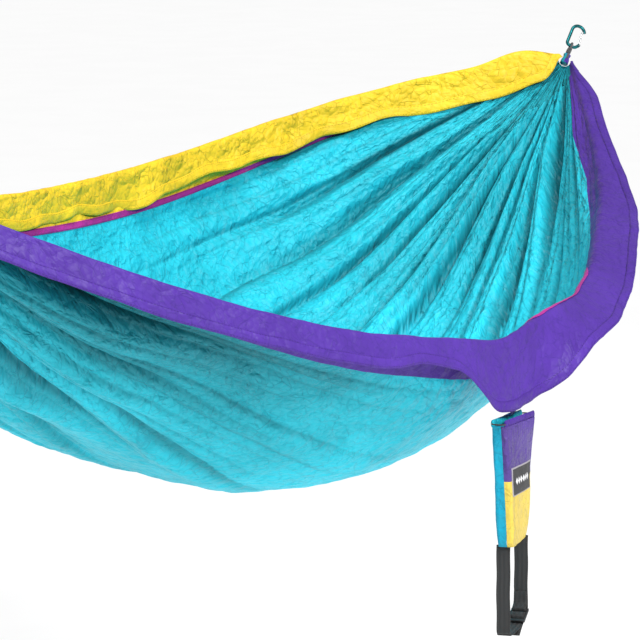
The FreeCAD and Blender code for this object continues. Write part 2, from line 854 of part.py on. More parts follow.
# ---------------------------------------------------------------- the compression strap

LOCK = SACK.multiply(
    Placement(
        Vector(number("Size.lock_x"), 0, number("Size.lock_z")),
        Rotation(Vector(0, 1, 0), 180 - number("Size.lock_tilt")),
    )
)


def from_lock(along, below):
    """A point of the lock's frame, along it and below it, in the sack's frame."""
    cosine, sine = "cos(Size.lock_tilt * 1 deg)", "sin(Size.lock_tilt * 1 deg)"
    return (
        f"Size.lock_x - ({along}) * {cosine} + ({below}) * {sine}",
        f"Size.lock_z - ({along}) * {sine} - ({below}) * {cosine}",
    )


def ribbon(name, points):
    """Webbing along a bent line, rounded at the top about the hinge of its swing."""
    body = new_body(name)
    side = new_sketch(body, "XZ_Plane", "Side")
    outline(side, band(points, "Size.webbing"))
    pad(body, side, "Size.webbing_width", midplane=True)
    half = "Size.webbing_width / 2"
    pivot = f"Size.sack_bottom - Size.gap - {half}"
    corners = new_sketch(body, "YZ_Plane", "TopCorners")
    arc(corners, ("0", pivot), half, "0", "180")
    frame = [
        (f"-({half})", pivot),
        (f"-({half}) - 1", pivot),
        (f"-({half}) - 1", "Size.sack_bottom + 1"),
        (f"{half} + 1", "Size.sack_bottom + 1"),
        (f"{half} + 1", pivot),
        (half, pivot),
    ]
    for start, finish in zip(frame, frame[1:]):
        line(corners, start, finish)
    doc.recompute()
    pocket_through(body, corners)
    keep(body, name, SACK)


def long_strap():
    """Down from the sack, round the loop's corner, through the lock, with a free tail."""
    under = "(Size.lock_thickness / 2 + Size.webbing / 2 + Size.gap)"
    end_bar = "(2 * Size.lock_pitch)"
    points = [
        ("-Size.leg_half_spread", "Size.sack_bottom - Size.gap"),
        ("-Size.leg_half_spread + 3", "Size.loop_bottom + 12"),
        ("-Size.leg_half_spread + 7", "Size.loop_bottom + 4"),
        ("-Size.leg_half_spread + 15", "Size.loop_bottom + 1"),
        from_lock(f"{end_bar} + 6", under),
        from_lock(f"{end_bar} - 4", under),
        from_lock("Size.lock_pitch + 4.5", f"-{under}"),
        from_lock("Size.lock_pitch - 4", f"-{under}"),
        from_lock("Size.lock_pitch - 8.5", f"{under} + 0.4"),
        from_lock("Size.lock_pitch - 5", f"{under} + 2.4"),
        from_lock("Size.strap_tail", f"{under} + 4"),
    ]
    ribbon("strap_long", points)


def short_strap():
    """Down from the sack, round the lock's upper bar and sewn back on itself."""
    turn = "(Size.lock_bar / 2 + Size.webbing + 2 * Size.gap)"
    points = [
        ("Size.leg_half_spread", "Size.sack_bottom - Size.gap"),
        (f"Size.lock_x + {turn}", "Size.lock_z + 20"),
    ]
    for angle in ("0", "-45", "-90", "-135", "-180"):
        points.append(polar(("Size.lock_x", "Size.lock_z"), turn, angle))
    sewn = f"Size.lock_x + {turn} - Size.webbing - Size.gap"
    points.append((f"Size.lock_x - {turn}", "Size.lock_z + 5"))
    points.append((sewn, "Size.lock_z + 13"))
    points.append((f"{sewn} + 0.1", "Size.lock_z + 32"))
    ribbon("strap_short", points)


def ladder_lock():
    """A three-bar plate with two slots."""
    body = new_body("ladder_lock")
    half = "Size.lock_width / 2"
    bar = "Size.lock_bar / 2"
    end = f"2 * Size.lock_pitch + {bar}"
    plan = new_sketch(body, "XY_Plane", "Plan")
    outline(plan, [(f"-{bar}", f"-{half}"), (end, f"-{half}"), (end, half), (f"-{bar}", half)])
    pad(body, plan, "Size.lock_thickness", midplane=True)
    slots = new_sketch(body, "XY_Plane", "Slots")
    reach = "(Size.webbing_width / 2 + Size.gap)"
    for bar_before in (0, 1):
        left = f"{bar_before} * Size.lock_pitch + {bar}"
        right = f"{bar_before + 1} * Size.lock_pitch - {bar}"
        outline(slots, [(left, f"-{reach}"), (right, f"-{reach}"), (right, reach), (left, reach)])
    doc.recompute()
    pocket_through(body, slots)
    keep(body, "ladder_lock", LOCK)


def make_sack():
    front = f"-({HALF_D})"
    break_below = "Size.sack_colour_break - Size.gap / 2"
    break_above = "Size.sack_colour_break + Size.gap / 2"
    tray("sack_front_upper", front, SPLIT_Y, PANEL_TOP, break_above, False)
    tray("sack_front_lower", front, SPLIT_Y, break_below, "Size.sack_bottom", True)
    tray("sack_back", HALF_D, f"{SPLIT_Y} + Size.gap", PANEL_TOP, "Size.sack_bottom", True)
    mouth_channel("mouth_channel_front", -1)
    mouth_channel("mouth_channel_back", 1)
    drawcord()
    hanging_tab()
    sack_label()
    drawcord_tail()
    drawcord_knot()
    cord_lock_barrel()
    cord_lock_button()
    cord_lock_spring()
    long_strap()
    short_strap()
    ladder_lock()


# ---------------------------------------------------------------- build and export

make_bed()
make_end("right", RIGHT_NECK, 1)
make_end("left", LEFT_NECK, -1)
make_sack()
doc.recompute()

for item in doc.Objects:
    bad = [state for state in item.State if state in ("Invalid", "Error")]
    if bad:
        raise RuntimeError(f"{item.Label} is {bad}")
for item in nodes:
    if item.Shape.isNull() or not item.Shape.isValid():
        raise RuntimeError(f"{item.Label} has no valid shape")

os.makedirs("parts", exist_ok=True)
for item in nodes:
    item.Shape.exportStep(f"parts/{item.Label}.step")
    box_of = item.Shape.optimalBoundingBox()
    print(
        f"{item.Label}: {len(item.Shape.Solids)} solid, {item.Shape.Volume:.0f} mm3, "
        f"x {box_of.XMin:.1f}..{box_of.XMax:.1f} y {box_of.YMin:.1f}..{box_of.YMax:.1f} "
        f"z {box_of.ZMin:.1f}..{box_of.ZMax:.1f}"
    )
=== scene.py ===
"""Looks of the camping hammock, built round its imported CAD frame. Metres, row frame.

The bed is worked out in its own frame: origin half-way between the two necks, X along the
ridge line, Y towards the far side, Z up. A place on the cloth is (xi, v): xi runs from -1
at the left neck to 1 at the right one, and v is the distance across the cloth, in metres,
from the near crest. The cloth's flaps are at negative v and beyond CREST_TO_CREST."""

import json
import math

import bpy
import numpy as np
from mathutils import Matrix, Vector


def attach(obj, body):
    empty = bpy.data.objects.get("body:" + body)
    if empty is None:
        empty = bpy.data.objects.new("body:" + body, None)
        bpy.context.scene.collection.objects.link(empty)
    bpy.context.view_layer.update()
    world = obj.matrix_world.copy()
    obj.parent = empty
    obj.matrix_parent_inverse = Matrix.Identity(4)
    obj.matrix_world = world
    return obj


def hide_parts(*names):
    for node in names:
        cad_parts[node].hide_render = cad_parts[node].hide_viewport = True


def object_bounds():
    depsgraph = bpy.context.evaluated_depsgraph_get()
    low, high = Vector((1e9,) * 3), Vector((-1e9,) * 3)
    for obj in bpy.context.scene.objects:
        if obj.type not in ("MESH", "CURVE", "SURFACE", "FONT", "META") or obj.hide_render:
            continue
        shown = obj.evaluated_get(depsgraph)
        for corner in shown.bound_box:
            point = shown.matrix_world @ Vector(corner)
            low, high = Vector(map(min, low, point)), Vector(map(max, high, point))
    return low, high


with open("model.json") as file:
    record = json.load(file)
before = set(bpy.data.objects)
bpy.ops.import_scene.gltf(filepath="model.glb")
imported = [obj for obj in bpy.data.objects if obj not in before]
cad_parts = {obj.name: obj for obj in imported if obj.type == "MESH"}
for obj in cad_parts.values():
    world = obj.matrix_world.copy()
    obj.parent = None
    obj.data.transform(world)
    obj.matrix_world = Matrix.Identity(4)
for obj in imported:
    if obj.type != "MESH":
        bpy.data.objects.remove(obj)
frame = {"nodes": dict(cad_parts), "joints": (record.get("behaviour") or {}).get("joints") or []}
cad_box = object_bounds()

# ---------------------------------------------------------------- driving sizes

SPAN = 2.390
PULL_ANGLE = math.radians(50)
ROLL_ANGLE = math.radians(49)
SEAT_REACH, SEAT_ACROSS = 0.07625, 0.0035
BED_RADIUS = 0.552
BED_CENTRE = np.array([-0.059, -0.154])
NEAR_CREST = math.radians(205.3)
FAR_CREST = math.radians(354.4)
CREST_TO_CREST = BED_RADIUS * (FAR_CREST - NEAR_CREST)
NECK_SHARE = 0.017
PANEL_LENGTH = 2.80
SACK_YAW = math.radians(14)
SACK_WIDTH, SACK_DEPTH = 0.135, 0.029
FRONT_DEPTH = 0.011
MOUTH_TOP, MOUTH_HEIGHT = -0.006, 0.012
COLOUR_BREAK, SACK_BOTTOM = -0.112, -0.226
ROPE_RADIUS, ROPE_BEND, ROPE_REACH = 0.00225, 0.0058, 0.030
WHIPPING_START, WHIPPING_LENGTH = 0.0105, 0.012

PULL = np.array([math.cos(PULL_ANGLE), 0, math.sin(PULL_ANGLE)])
ACROSS = np.array(
    [
        math.sin(ROLL_ANGLE) * math.sin(PULL_ANGLE),
        -math.cos(ROLL_ANGLE),
        -math.sin(ROLL_ANGLE) * math.cos(PULL_ANGLE),
    ]
)
RIGHT_NECK = -(PULL * SEAT_REACH + ACROSS * SEAT_ACROSS)
BED_ORIGIN = RIGHT_NECK - np.array([SPAN / 2, 0, 0])
LEFT_NECK = BED_ORIGIN - np.array([SPAN / 2, 0, 0])

# ---------------------------------------------------------------- numbers to meshes


def smooth(low, high, x):
    """A smooth step from 0 at low to 1 at high."""
    t = np.clip((x - low) / (high - low), 0, 1)
    return t * t * (3 - 2 * t)


def bump(x, centre, width):
    return np.exp(-(((x - centre) / width) ** 2))


def place_object(name, data):
    """A new object in the scene, for a mesh, curve, lamp or camera."""
    thing = bpy.data.objects.new(name, data)
    bpy.context.scene.collection.objects.link(thing)
    return thing


def directions(line, closed=False):
    """The unit direction of a line at each of its points."""
    step = np.roll(line, -1, 0) - np.roll(line, 1, 0) if closed else np.gradient(line, axis=0)
    return step / np.linalg.norm(step, axis=1)[:, None]


def grid_mesh(name, points, uv=None, loop_u=False, loop_v=False, caps=False):
    """A mesh from a grid of points, shape (rows, columns, 3), in the row frame."""
    rows, columns = points.shape[:2]
    index = np.arange(rows * columns).reshape(rows, columns)
    iu = np.arange(rows if loop_u else rows - 1)
    iv = np.arange(columns if loop_v else columns - 1)
    a = index[np.ix_(iu, iv)]
    b = index[np.ix_((iu + 1) % rows, iv)]
    c = index[np.ix_((iu + 1) % rows, (iv + 1) % columns)]
    d = index[np.ix_(iu, (iv + 1) % columns)]
    faces = np.stack([a, b, c, d], -1).reshape(-1, 4).tolist()
    if caps:
        faces.append(index[0].tolist())
        faces.append(index[-1][::-1].tolist())
    mesh = bpy.data.meshes.new(name)
    mesh.from_pydata(points.reshape(-1, 3).tolist(), [], faces)
    mesh.update()
    if uv is not None:
        layer = mesh.uv_layers.new(name="Flat")
        corners = np.zeros(len(mesh.loops), int)
        mesh.loops.foreach_get("vertex_index", corners)
        layer.data.foreach_set("uv", uv.reshape(-1, 2)[corners].ravel())
    mesh.polygons.foreach_set("use_smooth", [True] * len(mesh.polygons))
    return place_object(f"{name}_cloth", mesh)


def finish_piece(thing, body, slot, material, *nodes):
    thing.data.materials.append(material)
    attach(thing, body)
    if nodes:
        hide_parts(*nodes)
    return thing


def cell_noise(x, y, size, seed):
    """Distance to the nearest of a jittered grid's points, as a share of the grid's size."""
    table = np.random.default_rng(seed).random((64, 64, 2))
    x, y = x / size, y / size
    cx, cy = np.floor(x).astype(int), np.floor(y).astype(int)
    best = np.full(x.shape, 9.0)
    for dx in (-1, 0, 1):
        for dy in (-1, 0, 1):
            jitter = table[(cx + dx) % 64, (cy + dy) % 64]
            away = np.hypot(x - cx - dx - jitter[..., 0], y - cy - dy - jitter[..., 1])
            best = np.minimum(best, away)
    return best


def value_noise(x, y, size, seed):
    """Smooth noise from -1 to 1."""
    table = np.random.default_rng(seed).random((64, 64)) * 2 - 1
    x, y = x / size, y / size
    cx, cy = np.floor(x).astype(int), np.floor(y).astype(int)
    fx, fy = x - cx, y - cy
    fx, fy = fx * fx * (3 - 2 * fx), fy * fy * (3 - 2 * fy)
    corner = [[table[(cx + i) % 64, (cy + j) % 64] for j in (0, 1)] for i in (0, 1)]
    low = corner[0][0] * (1 - fx) + corner[1][0] * fx
    high = corner[0][1] * (1 - fx) + corner[1][1] * fx
    return low * (1 - fy) + high * fy


def crumple(x, y, seed):
    """The creases of crumpled thin nylon, in metres."""
    wx = x + 0.012 * value_noise(x, y, 0.05, seed)
    wy = y + 0.012 * value_noise(x, y, 0.05, seed + 1)
    height = 0.0050 * cell_noise(wx, wy, 0.095, seed + 2)
    height += 0.0026 * cell_noise(wx * 1.1, wy, 0.045, seed + 3)
    height += 0.0011 * cell_noise(wx, wy * 1.2, 0.024, seed + 4)
    return height - 0.004


# ---------------------------------------------------------------- the bed's shape


def wall(xi, v):
    """The cross-section plane's (y, z) of the cloth between its crests, without pleats."""
    phi = NEAR_CREST + v / BED_RADIUS
    middle = math.radians(270)
    far = np.clip((phi - middle) / (FAR_CREST - middle), 0, 1.1)
    near = np.clip((middle - phi) / (middle - NEAR_CREST), 0, 1.1)
    reach = np.abs(xi)
    fullness = 1.78 + 1.4 * far**1.5 + 0.06 * near
    share = 1 - reach**fullness
    low = bump(phi, math.radians(262), math.radians(38))
    share = share * (1 - 0.014 * low * (1 - reach))
    share = np.sqrt(share**2 + NECK_SHARE**2)
    twist = math.radians(16.1) * xi**2 * far**1.5
    y = BED_CENTRE[0] + BED_RADIUS * np.cos(phi)
    z = BED_CENTRE[1] + BED_RADIUS * np.sin(phi)
    y, z = y * np.cos(twist) - z * np.sin(twist), y * np.sin(twist) + z * np.cos(twist)
    z = z * share
    z = z + far**4 * 0.020 * bump(reach, 0.955, 0.035)
    z = z - near**3 * 0.010 * (bump(xi, -0.02, 0.07) + 0.8 * bump(xi, -0.45, 0.3))
    z = z + near**3 * 0.016 * bump(xi, 0.14, 0.10)
    return y * share, z


def fold_row(v, reach, count, draw, first=0.02, spread=0.40):
    """Rounded folds side by side across the cloth, each growing towards the neck.

    Gives each place's height on its fold, and its share of light between the folds."""
    spacing = CREST_TO_CREST / count
    jitter = 0.5 * (draw.random(count + 5) - 0.5)
    valleys = (np.arange(-2, count + 3) + jitter) * spacing
    start = first + spread * draw.random(count + 4) ** 1.4
    strength = 0.45 + 0.75 * draw.random(count + 4)
    lean = 0.7 + 0.7 * draw.random(count + 4)
    k = np.clip(np.searchsorted(valleys, v) - 1, 0, count + 3)
    width = valleys[k + 1] - valleys[k]
    share = np.clip((v - valleys[k]) / width, 0, 1) ** lean[k]
    grown = strength[k] * smooth(start[k], start[k] + 0.42, reach)
    ridge = np.sin(math.pi * share)
    lit = 1 - np.clip(grown, 0, 1) * (1 - smooth(-0.1, 0.75, ridge))
    return width * grown * ridge**0.55, lit


def pleats(xi, v):
    """How far the cloth stands in from the smooth wall, in metres, and its share of light."""
    xi, v = np.broadcast_arrays(xi, v)
    total, lit = np.zeros(xi.shape), np.ones(xi.shape)
    for end, count, fullness, first, level in ((1, 14, 1.3, 0.06, 0.62), (-1, 9, -1.3, -0.10, 1.0)):
        draw = np.random.default_rng(40 + end)
        reach = np.clip(xi * end, 0, 1)
        gathered = np.clip(1 - reach**1.8, NECK_SHARE, 1)
        height = np.minimum(1.5 * gathered, 0.5 * np.sqrt(1 - gathered**2))
        sway = 0.03 * (1 - reach) * value_noise(reach * 2 + 5, v + 3, 0.35, 44 + end)
        folds, deep = fold_row(v + sway, reach, count, draw, first)
        small, shallow = fold_row(v + 0.6 * sway, reach, count * 3 - 2, draw, first)
        mean = level * CREST_TO_CREST / count * smooth(0.05, 0.5, reach)
        total = total + fullness * height * (folds + 0.5 * small - mean)
        lit = lit * (1 - 0.80 * (1 - deep)) * (1 - 0.35 * (1 - shallow))
    edges = smooth(-0.01, 0.11, v) * smooth(-0.01, 0.10, CREST_TO_CREST - v)
    total = total * (0.08 + 0.92 * edges)
    gathered = np.clip(1 - np.abs(xi) ** 1.8, NECK_SHARE, 1)
    under_far = smooth(0.150, 0.085, (CREST_TO_CREST - v) * gathered)
    under_near = smooth(0.130, 0.075, v * gathered) * smooth(0.1, 0.0, xi)
    total = np.minimum(total, 0.10 - 0.103 * under_far)
    return np.maximum(total, 0.101 * under_near - 0.10), lit


def relief(xi, v):
    """All that lies on the smooth wall: pleats, slow waves and creases."""
    along = xi * SPAN * 0.58 + 3
    across = v + 1
    middle = smooth(1.02, 0.55, np.abs(xi))
    waves = 0.007 * value_noise(along, across, 0.33, 3) + 0.004 * value_noise(along, across, 0.16, 4)
    fine = crumple(along, across, 11)
    taper = np.clip(1 - np.abs(xi) ** 1.8, 0.03, 1) ** 0.7
    return pleats(xi, v)[0] + (waves * middle + fine * 0.9) * taper


def bed_points(xi, y, z):
    """Row-frame points from places in the bed's cross-sections."""
    x = xi * SPAN / 2
    return np.stack([x + 0 * y, y, z], -1) + BED_ORIGIN


def stations(count):
    """Evenly spread along the bed, closer together towards both necks."""
    t = np.linspace(-1, 1, count)
    return np.sign(t) * (1 - (1 - np.abs(t)) ** 1.25) * 0.995


def on_wall(xi, v, offset=0):
    """Points of the cloth, moved in along its normal by its relief and an offset."""
    y, z = wall(xi, v)
    dy, dz = wall(xi, v + 0.002)
    ty, tz = dy - y, dz - z
    length = np.hypot(ty, tz)
    ny, nz = -tz / length, ty / length
    depth = relief(xi, v) + offset
    return y + ny * depth, z + nz * depth


NEAR_SEAM_HIDDEN, NEAR_SEAM_SHOWN, FAR_SEAM = 0.075, -0.012, 0.066


def near_seam_at(xi):
    """Where the near seam lies: over the crest where the cloth flares, inside it elsewhere."""
    flared = smooth(0.0, 0.10, xi)
    shown = NEAR_SEAM_SHOWN + (0.006 - NEAR_SEAM_SHOWN) * smooth(0.34, 0.42, xi)
    shown = shown + 0.034 * smooth(0.46, 0.66, xi) + 0.05 * smooth(0.68, 0.86, xi)
    return NEAR_SEAM_HIDDEN + (shown - NEAR_SEAM_HIDDEN) * flared


def far_seam_at(xi):
    """The same for the far seam, as a distance below the far crest."""
    return FAR_SEAM + 0.008 * smooth(-0.1, 0.5, xi)


def near_flap(xi):
    """Length, direction and bend of the flap beyond the near crest."""
    reach = np.abs(xi)
    over_sack = smooth(-0.14, -0.045, xi) * (1 - smooth(0.075, 0.19, xi))
    left = 0.080 - 0.012 * bump(xi, -0.19, 0.05)
    right = 0.116 - 0.014 * smooth(0.2, 0.6, xi) - 0.056 * smooth(0.52, 0.85, xi)
    side = smooth(-0.02, 0.09, xi)
    length = left * (1 - side) + right * side
    length = length + (0.145 - length) * over_sack
    length = length * (1 - smooth(0.90, 1.0, reach) * 0.84)
    turned = 256 + 4 * over_sack - 20 * smooth(0.055, 0.14, xi) - 26 * smooth(0.10, 0.26, xi)
    turned = turned - 22 * smooth(0.2, 0.5, xi) - 4 * smooth(0.5, 0.8, xi)
    turned = turned - 20 * smooth(0.7, 0.98, -xi)
    return length, np.radians(turned), 0.010 * (1 - 0.8 * reach**4)


def far_flap(xi):
    """Length, direction and bend of the flap beyond the far crest."""
    reach = np.abs(xi)
    length = 0.083 + 0.010 * smooth(0.15, -0.15, xi) + 0.014 * bump(xi, 0.27, 0.10)
    length = length + 0.004 * np.sin(xi * 23) + 0.003 * np.sin(xi * 61 + 1)
    length = length * (1 - smooth(0.955, 1.0, reach) * 0.84)
    turned = 266 - 12 * smooth(0.55, 0.85, reach) - 30 * smooth(0.80, 0.96, reach)
    turned = turned + 4 * np.sin(xi * 17) * (1 - reach)
    return length, np.radians(turned), 0.010 * (1 - 0.8 * reach**6)


def flap_line(xi, steps, near):
    """Points beyond a crest at each station: (y, z, distance), shape (stations, steps)."""
    length, turned, bend = (near_flap if near else far_flap)(xi)
    v0 = np.zeros(len(xi)) if near else np.full(len(xi), CREST_TO_CREST)
    step_v = -0.002 if near else 0.002
    y0, z0 = on_wall(xi, v0)
    y1, z1 = wall(xi, v0)
    y2, z2 = wall(xi, v0 + step_v)
    start = np.arctan2(z2 - z1, y2 - y1)
    start = np.where(start < 0, start + 2 * math.pi, start)
    share = np.linspace(0, 1, steps)
    distance = length[:, None] * share[None, :]
    reach = np.clip(distance / (3.1 * bend[:, None]), 0, 1)
    turn = reach * reach * (3 - 2 * reach)
    angle = start[:, None] + (turned - start)[:, None] * turn
    roughness = 0.30 if near else 1.0
    along = xi[:, None] * SPAN * 0.58 + 7
    ripple = value_noise(along, distance + 2, 0.11, 21 + near)
    ripple = ripple + 0.6 * value_noise(along, distance + 2, 0.045, 23 + near)
    angle = angle + roughness * 0.45 * ripple * share[None, :]
    ds = np.diff(distance, axis=1)
    mid = (angle[:, 1:] + angle[:, :-1]) / 2
    y = y0[:, None] + np.concatenate([0 * y0[:, None], np.cumsum(np.cos(mid) * ds, 1)], 1)
    z = z0[:, None] + np.concatenate([0 * z0[:, None], np.cumsum(np.sin(mid) * ds, 1)], 1)
    fine = crumple(along + 0 * distance, distance + 4, 31 + near) * (0.25 if near else 0.55)
    fine = fine * smooth(0, 0.02, distance)
    return y + np.sin(angle) * fine, z - np.cos(angle) * fine, distance, angle


# ---------------------------------------------------------------- materials


def socket(shader, name, value):
    shader.inputs[name].default_value = value


def new_material(name, colour, roughness, **fixed):
    """A Principled material, returned with its tree and shader; node() adds nodes to the tree."""
    material = bpy.data.materials.new(name)
    material.use_nodes = True
    tree = material.node_tree
    shader = tree.nodes["Principled BSDF"]
    socket(shader, "Base Color", (*colour, 1))
    socket(shader, "Roughness", roughness)
    for key, value in fixed.items():
        socket(shader, key.replace("_", " ").title(), value)
    material.diffuse_color = (*colour, 1)
    return material, tree, shader


def node(tree, kind, **values):
    made = tree.nodes.new(kind)
    for key, value in values.items():
        if key in made.inputs:
            made.inputs[key].default_value = value
        else:
            setattr(made, key, value)
    return made


def noise(tree, vector, scale, detail=4, kind="FBM", **values):
    made = node(tree, "ShaderNodeTexNoise", noise_type=kind, **values)
    made.inputs["Scale"].default_value = scale
    made.inputs["Detail"].default_value = detail
    tree.links.new(vector, made.inputs["Vector"])
    return made.outputs["Fac"]


def maths(tree, operation, first, second=None):
    made = node(tree, "ShaderNodeMath", operation=operation)
    for slot, value in zip(made.inputs, (first, second)):
        if isinstance(value, (int, float)):
            slot.default_value = value
        elif value is not None:
            tree.links.new(value, slot)
    return made.outputs[0]


def ramp(tree, factor, stops):
    made = node(tree, "ShaderNodeValToRGB")
    tree.links.new(factor, made.inputs["Fac"])
    elements = made.color_ramp.elements
    while len(elements) < len(stops):
        elements.new(0.5)
    for element, (position, colour) in zip(elements, stops):
        element.position = position
        element.color = (*colour, 1)
    return made.outputs["Color"]


def bumped(tree, shader, layers):
    """Stacks bump nodes: layers are (height, strength, distance)."""
    last = None
    for height, strength, distance in layers:
        made = node(tree, "ShaderNodeBump")
        made.inputs["Strength"].default_value = strength
        made.inputs["Distance"].default_value = distance
        tree.links.new(height, made.inputs["Height"])
        if last is not None:
            tree.links.new(last, made.inputs["Normal"])
        last = made.outputs["Normal"]
    tree.links.new(last, shader.inputs["Normal"])


def shade(colour, amount):
    return tuple(min(1.0, c * amount) for c in colour)


def coordinates(tree, kind="UV"):
    return node(tree, "ShaderNodeTexCoord").outputs[kind]


def separated(tree, vector):
    """The X and Y outputs of a vector."""
    split = node(tree, "ShaderNodeSeparateXYZ")
    tree.links.new(vector, split.inputs[0])
    return split.outputs["X"], split.outputs["Y"]


def scaled(tree, value, by, plus):
    outcome = maths(tree, "MULTIPLY_ADD", value, by)
    outcome.node.inputs[2].default_value = plus
    return outcome


def coloured(tree, shader, value, stops):
    """The base colour, from a ramp of stops over a value."""
    tree.links.new(ramp(tree, value, stops), shader.inputs["Base Color"])


def mixed(tree, factor, first, second, blend="MIX"):
    """A mix of two colours, where each input is an output of a node or a fixed value."""
    mixing = node(tree, "ShaderNodeMix", data_type="RGBA", blend_type=blend)
    for place, value in ((0, factor), (6, first), (7, second)):
        if isinstance(value, bpy.types.NodeSocket):
            tree.links.new(value, mixing.inputs[place])
        else:
            mixing.inputs[place].default_value = value
    return mixing.outputs[2]


def nylon(name, colour, creases=1.0, sheen=0.02, spread=0.16, painted_fold_shade=False):
    """Thin crumpled nylon: creases at three sizes, a fine weave, lighter and darker patches of tone at
    random, painted shade along the crease lines and, for the bed, painted light and shade from its Lit
    attribute.
    """
    material, tree, shader = new_material(name, colour, 0.46)
    socket(shader, "Sheen Weight", sheen)
    socket(shader, "Sheen Roughness", 0.4)
    socket(shader, "Specular IOR Level", 0.20)
    place = coordinates(tree)
    bend = node(tree, "ShaderNodeTexNoise", Scale=9.0, Detail=3.0)
    tree.links.new(place, bend.inputs["Vector"])
    moved = node(tree, "ShaderNodeVectorMath", operation="MULTIPLY_ADD")
    tree.links.new(bend.outputs["Color"], moved.inputs[0])
    moved.inputs[1].default_value = (0.05, 0.05, 0.05)
    tree.links.new(place, moved.inputs[2])
    warped = moved.outputs[0]
    creases_seen = None
    for scale, reach in ((30.0, 0.040), (75.0, 0.080)):
        cells = node(tree, "ShaderNodeTexVoronoi", feature="DISTANCE_TO_EDGE", Scale=scale)
        tree.links.new(warped, cells.inputs["Vector"])
        line = node(tree, "ShaderNodeMapRange", interpolation_type="SMOOTHSTEP")
        tree.links.new(cells.outputs["Distance"], line.inputs["Value"])
        line.inputs["From Max"].default_value = reach
        broken = node(tree, "ShaderNodeMapRange")
        tree.links.new(noise(tree, place, scale * 0.8, 2), broken.inputs["Value"])
        broken.inputs["From Min"].default_value = 0.36
        broken.inputs["From Max"].default_value = 0.58
        here = maths(tree, "MAXIMUM", line.outputs[0], broken.outputs[0])
        creases_seen = here if creases_seen is None else maths(tree, "MULTIPLY", creases_seen, here)
    coarse = node(tree, "ShaderNodeTexVoronoi", feature="F1", Scale=34.0)
    fine = node(tree, "ShaderNodeTexVoronoi", feature="F1", Scale=85.0)
    tree.links.new(warped, coarse.inputs["Vector"])
    tree.links.new(warped, fine.inputs["Vector"])
    lines = noise(tree, warped, 16.0, 6, "RIDGED_MULTIFRACTAL")
    weave = noise(tree, place, 900.0, 2)
    bumped(
        tree,
        shader,
        [
            (coarse.outputs["Distance"], 0.75 * creases, 0.009),
            (fine.outputs["Distance"], 0.70 * creases, 0.004),
            (lines, 0.80 * creases, 0.007),
            (creases_seen, 0.60 * creases, 0.0014),
            (weave, 0.10, 0.0006),
        ],
    )
    tone = noise(tree, warped, 7.0, 6)
    stops = [(0.30, shade(colour, 1 - spread)), (0.52, colour), (0.74, shade(colour, 1 + spread))]
    # Painted shade: the colour is darkened along the crease lines.
    painted_crease_shade = ramp(tree, creases_seen, [(0.0, (0.76, 0.79, 0.82)), (1.0, (1, 1, 1))])
    tone_and_painted_shade = mixed(tree, 1.0, ramp(tree, tone, stops), painted_crease_shade, "MULTIPLY")
    # The bed's Lit attribute multiplies the colour: painted shade between its folds and under its flap,
    # and a painted glow of light through the cloth at its belly.
    if painted_fold_shade:
        light = node(tree, "ShaderNodeAttribute", attribute_name="Lit")
        tone_and_painted_shade = mixed(tree, 1.0, tone_and_painted_shade, light.outputs["Fac"], "MULTIPLY")
    tree.links.new(tone_and_painted_shade, shader.inputs["Base Color"])
    tree.links.new(scaled(tree, noise(tree, warped, 30.0, 3), 0.22, 0.36), shader.inputs["Roughness"])
    return material


def stitched(name, colour, rows, pitch=0.003, creases=0.5):
    """Nylon with rows of stitches; the UV runs along (x) and across (y) in metres."""
    material = nylon(name, colour, creases)
    tree = material.node_tree
    shader = tree.nodes["Principled BSDF"]
    across_x, across_y = separated(tree, coordinates(tree))
    along = maths(tree, "PINGPONG", across_x, pitch)
    dash = maths(tree, "GREATER_THAN", along, pitch * 0.35)
    mask = None
    for row in rows:
        off = maths(tree, "ABSOLUTE", maths(tree, "SUBTRACT", across_y, row))
        here = maths(tree, "MULTIPLY", maths(tree, "LESS_THAN", off, 0.0006), dash)
        mask = here if mask is None else maths(tree, "MAXIMUM", mask, here)
    old = shader.inputs["Base Color"].links[0].from_socket
    threaded = mixed(tree, mask, old, (*shade(colour, 0.65), 1))
    tree.links.new(threaded, shader.inputs["Base Color"])
    normal = shader.inputs["Normal"].links[0].from_socket
    sunk = node(tree, "ShaderNodeBump", invert=True)
    sunk.inputs["Strength"].default_value = 0.7
    sunk.inputs["Distance"].default_value = 0.0012
    tree.links.new(mask, sunk.inputs["Height"])
    tree.links.new(normal, sunk.inputs["Normal"])
    tree.links.new(sunk.outputs["Normal"], shader.inputs["Normal"])
    return material


def webbing(name, colour, pitch=0.0016):
    """Flat woven webbing: a herringbone of ribs from the UV in metres."""
    material, tree, shader = new_material(name, colour, 0.62)
    socket(shader, "Sheen Weight", 0.08)
    place = coordinates(tree)
    along, across = separated(tree, place)
    slant = maths(tree, "ADD", along, maths(tree, "PINGPONG", across, 0.004))
    rib = maths(tree, "SINE", maths(tree, "MULTIPLY", slant, 2 * math.pi / pitch))
    grain = noise(tree, place, 700.0, 2)
    bumped(tree, shader, [(rib, 0.5, 0.0005), (grain, 0.25, 0.0004)])
    stops = [(0.3, shade(colour, 0.7)), (0.6, shade(colour, 1.25))]
    coloured(tree, shader, scaled(tree, rib, 0.12, 0.5), stops)
    return material


def braid(name, colour, scale=520.0):
    material, tree, shader = new_material(name, colour, 0.7)
    socket(shader, "Sheen Weight", 0.3)
    place = coordinates(tree, "Object")
    fibres = noise(tree, place, scale, 3)
    bumped(tree, shader, [(fibres, 0.5, 0.0006)])
    stops = [(0.35, shade(colour, 0.6)), (0.65, shade(colour, 1.5))]
    coloured(tree, shader, noise(tree, place, scale * 0.6, 2), stops)
    return material


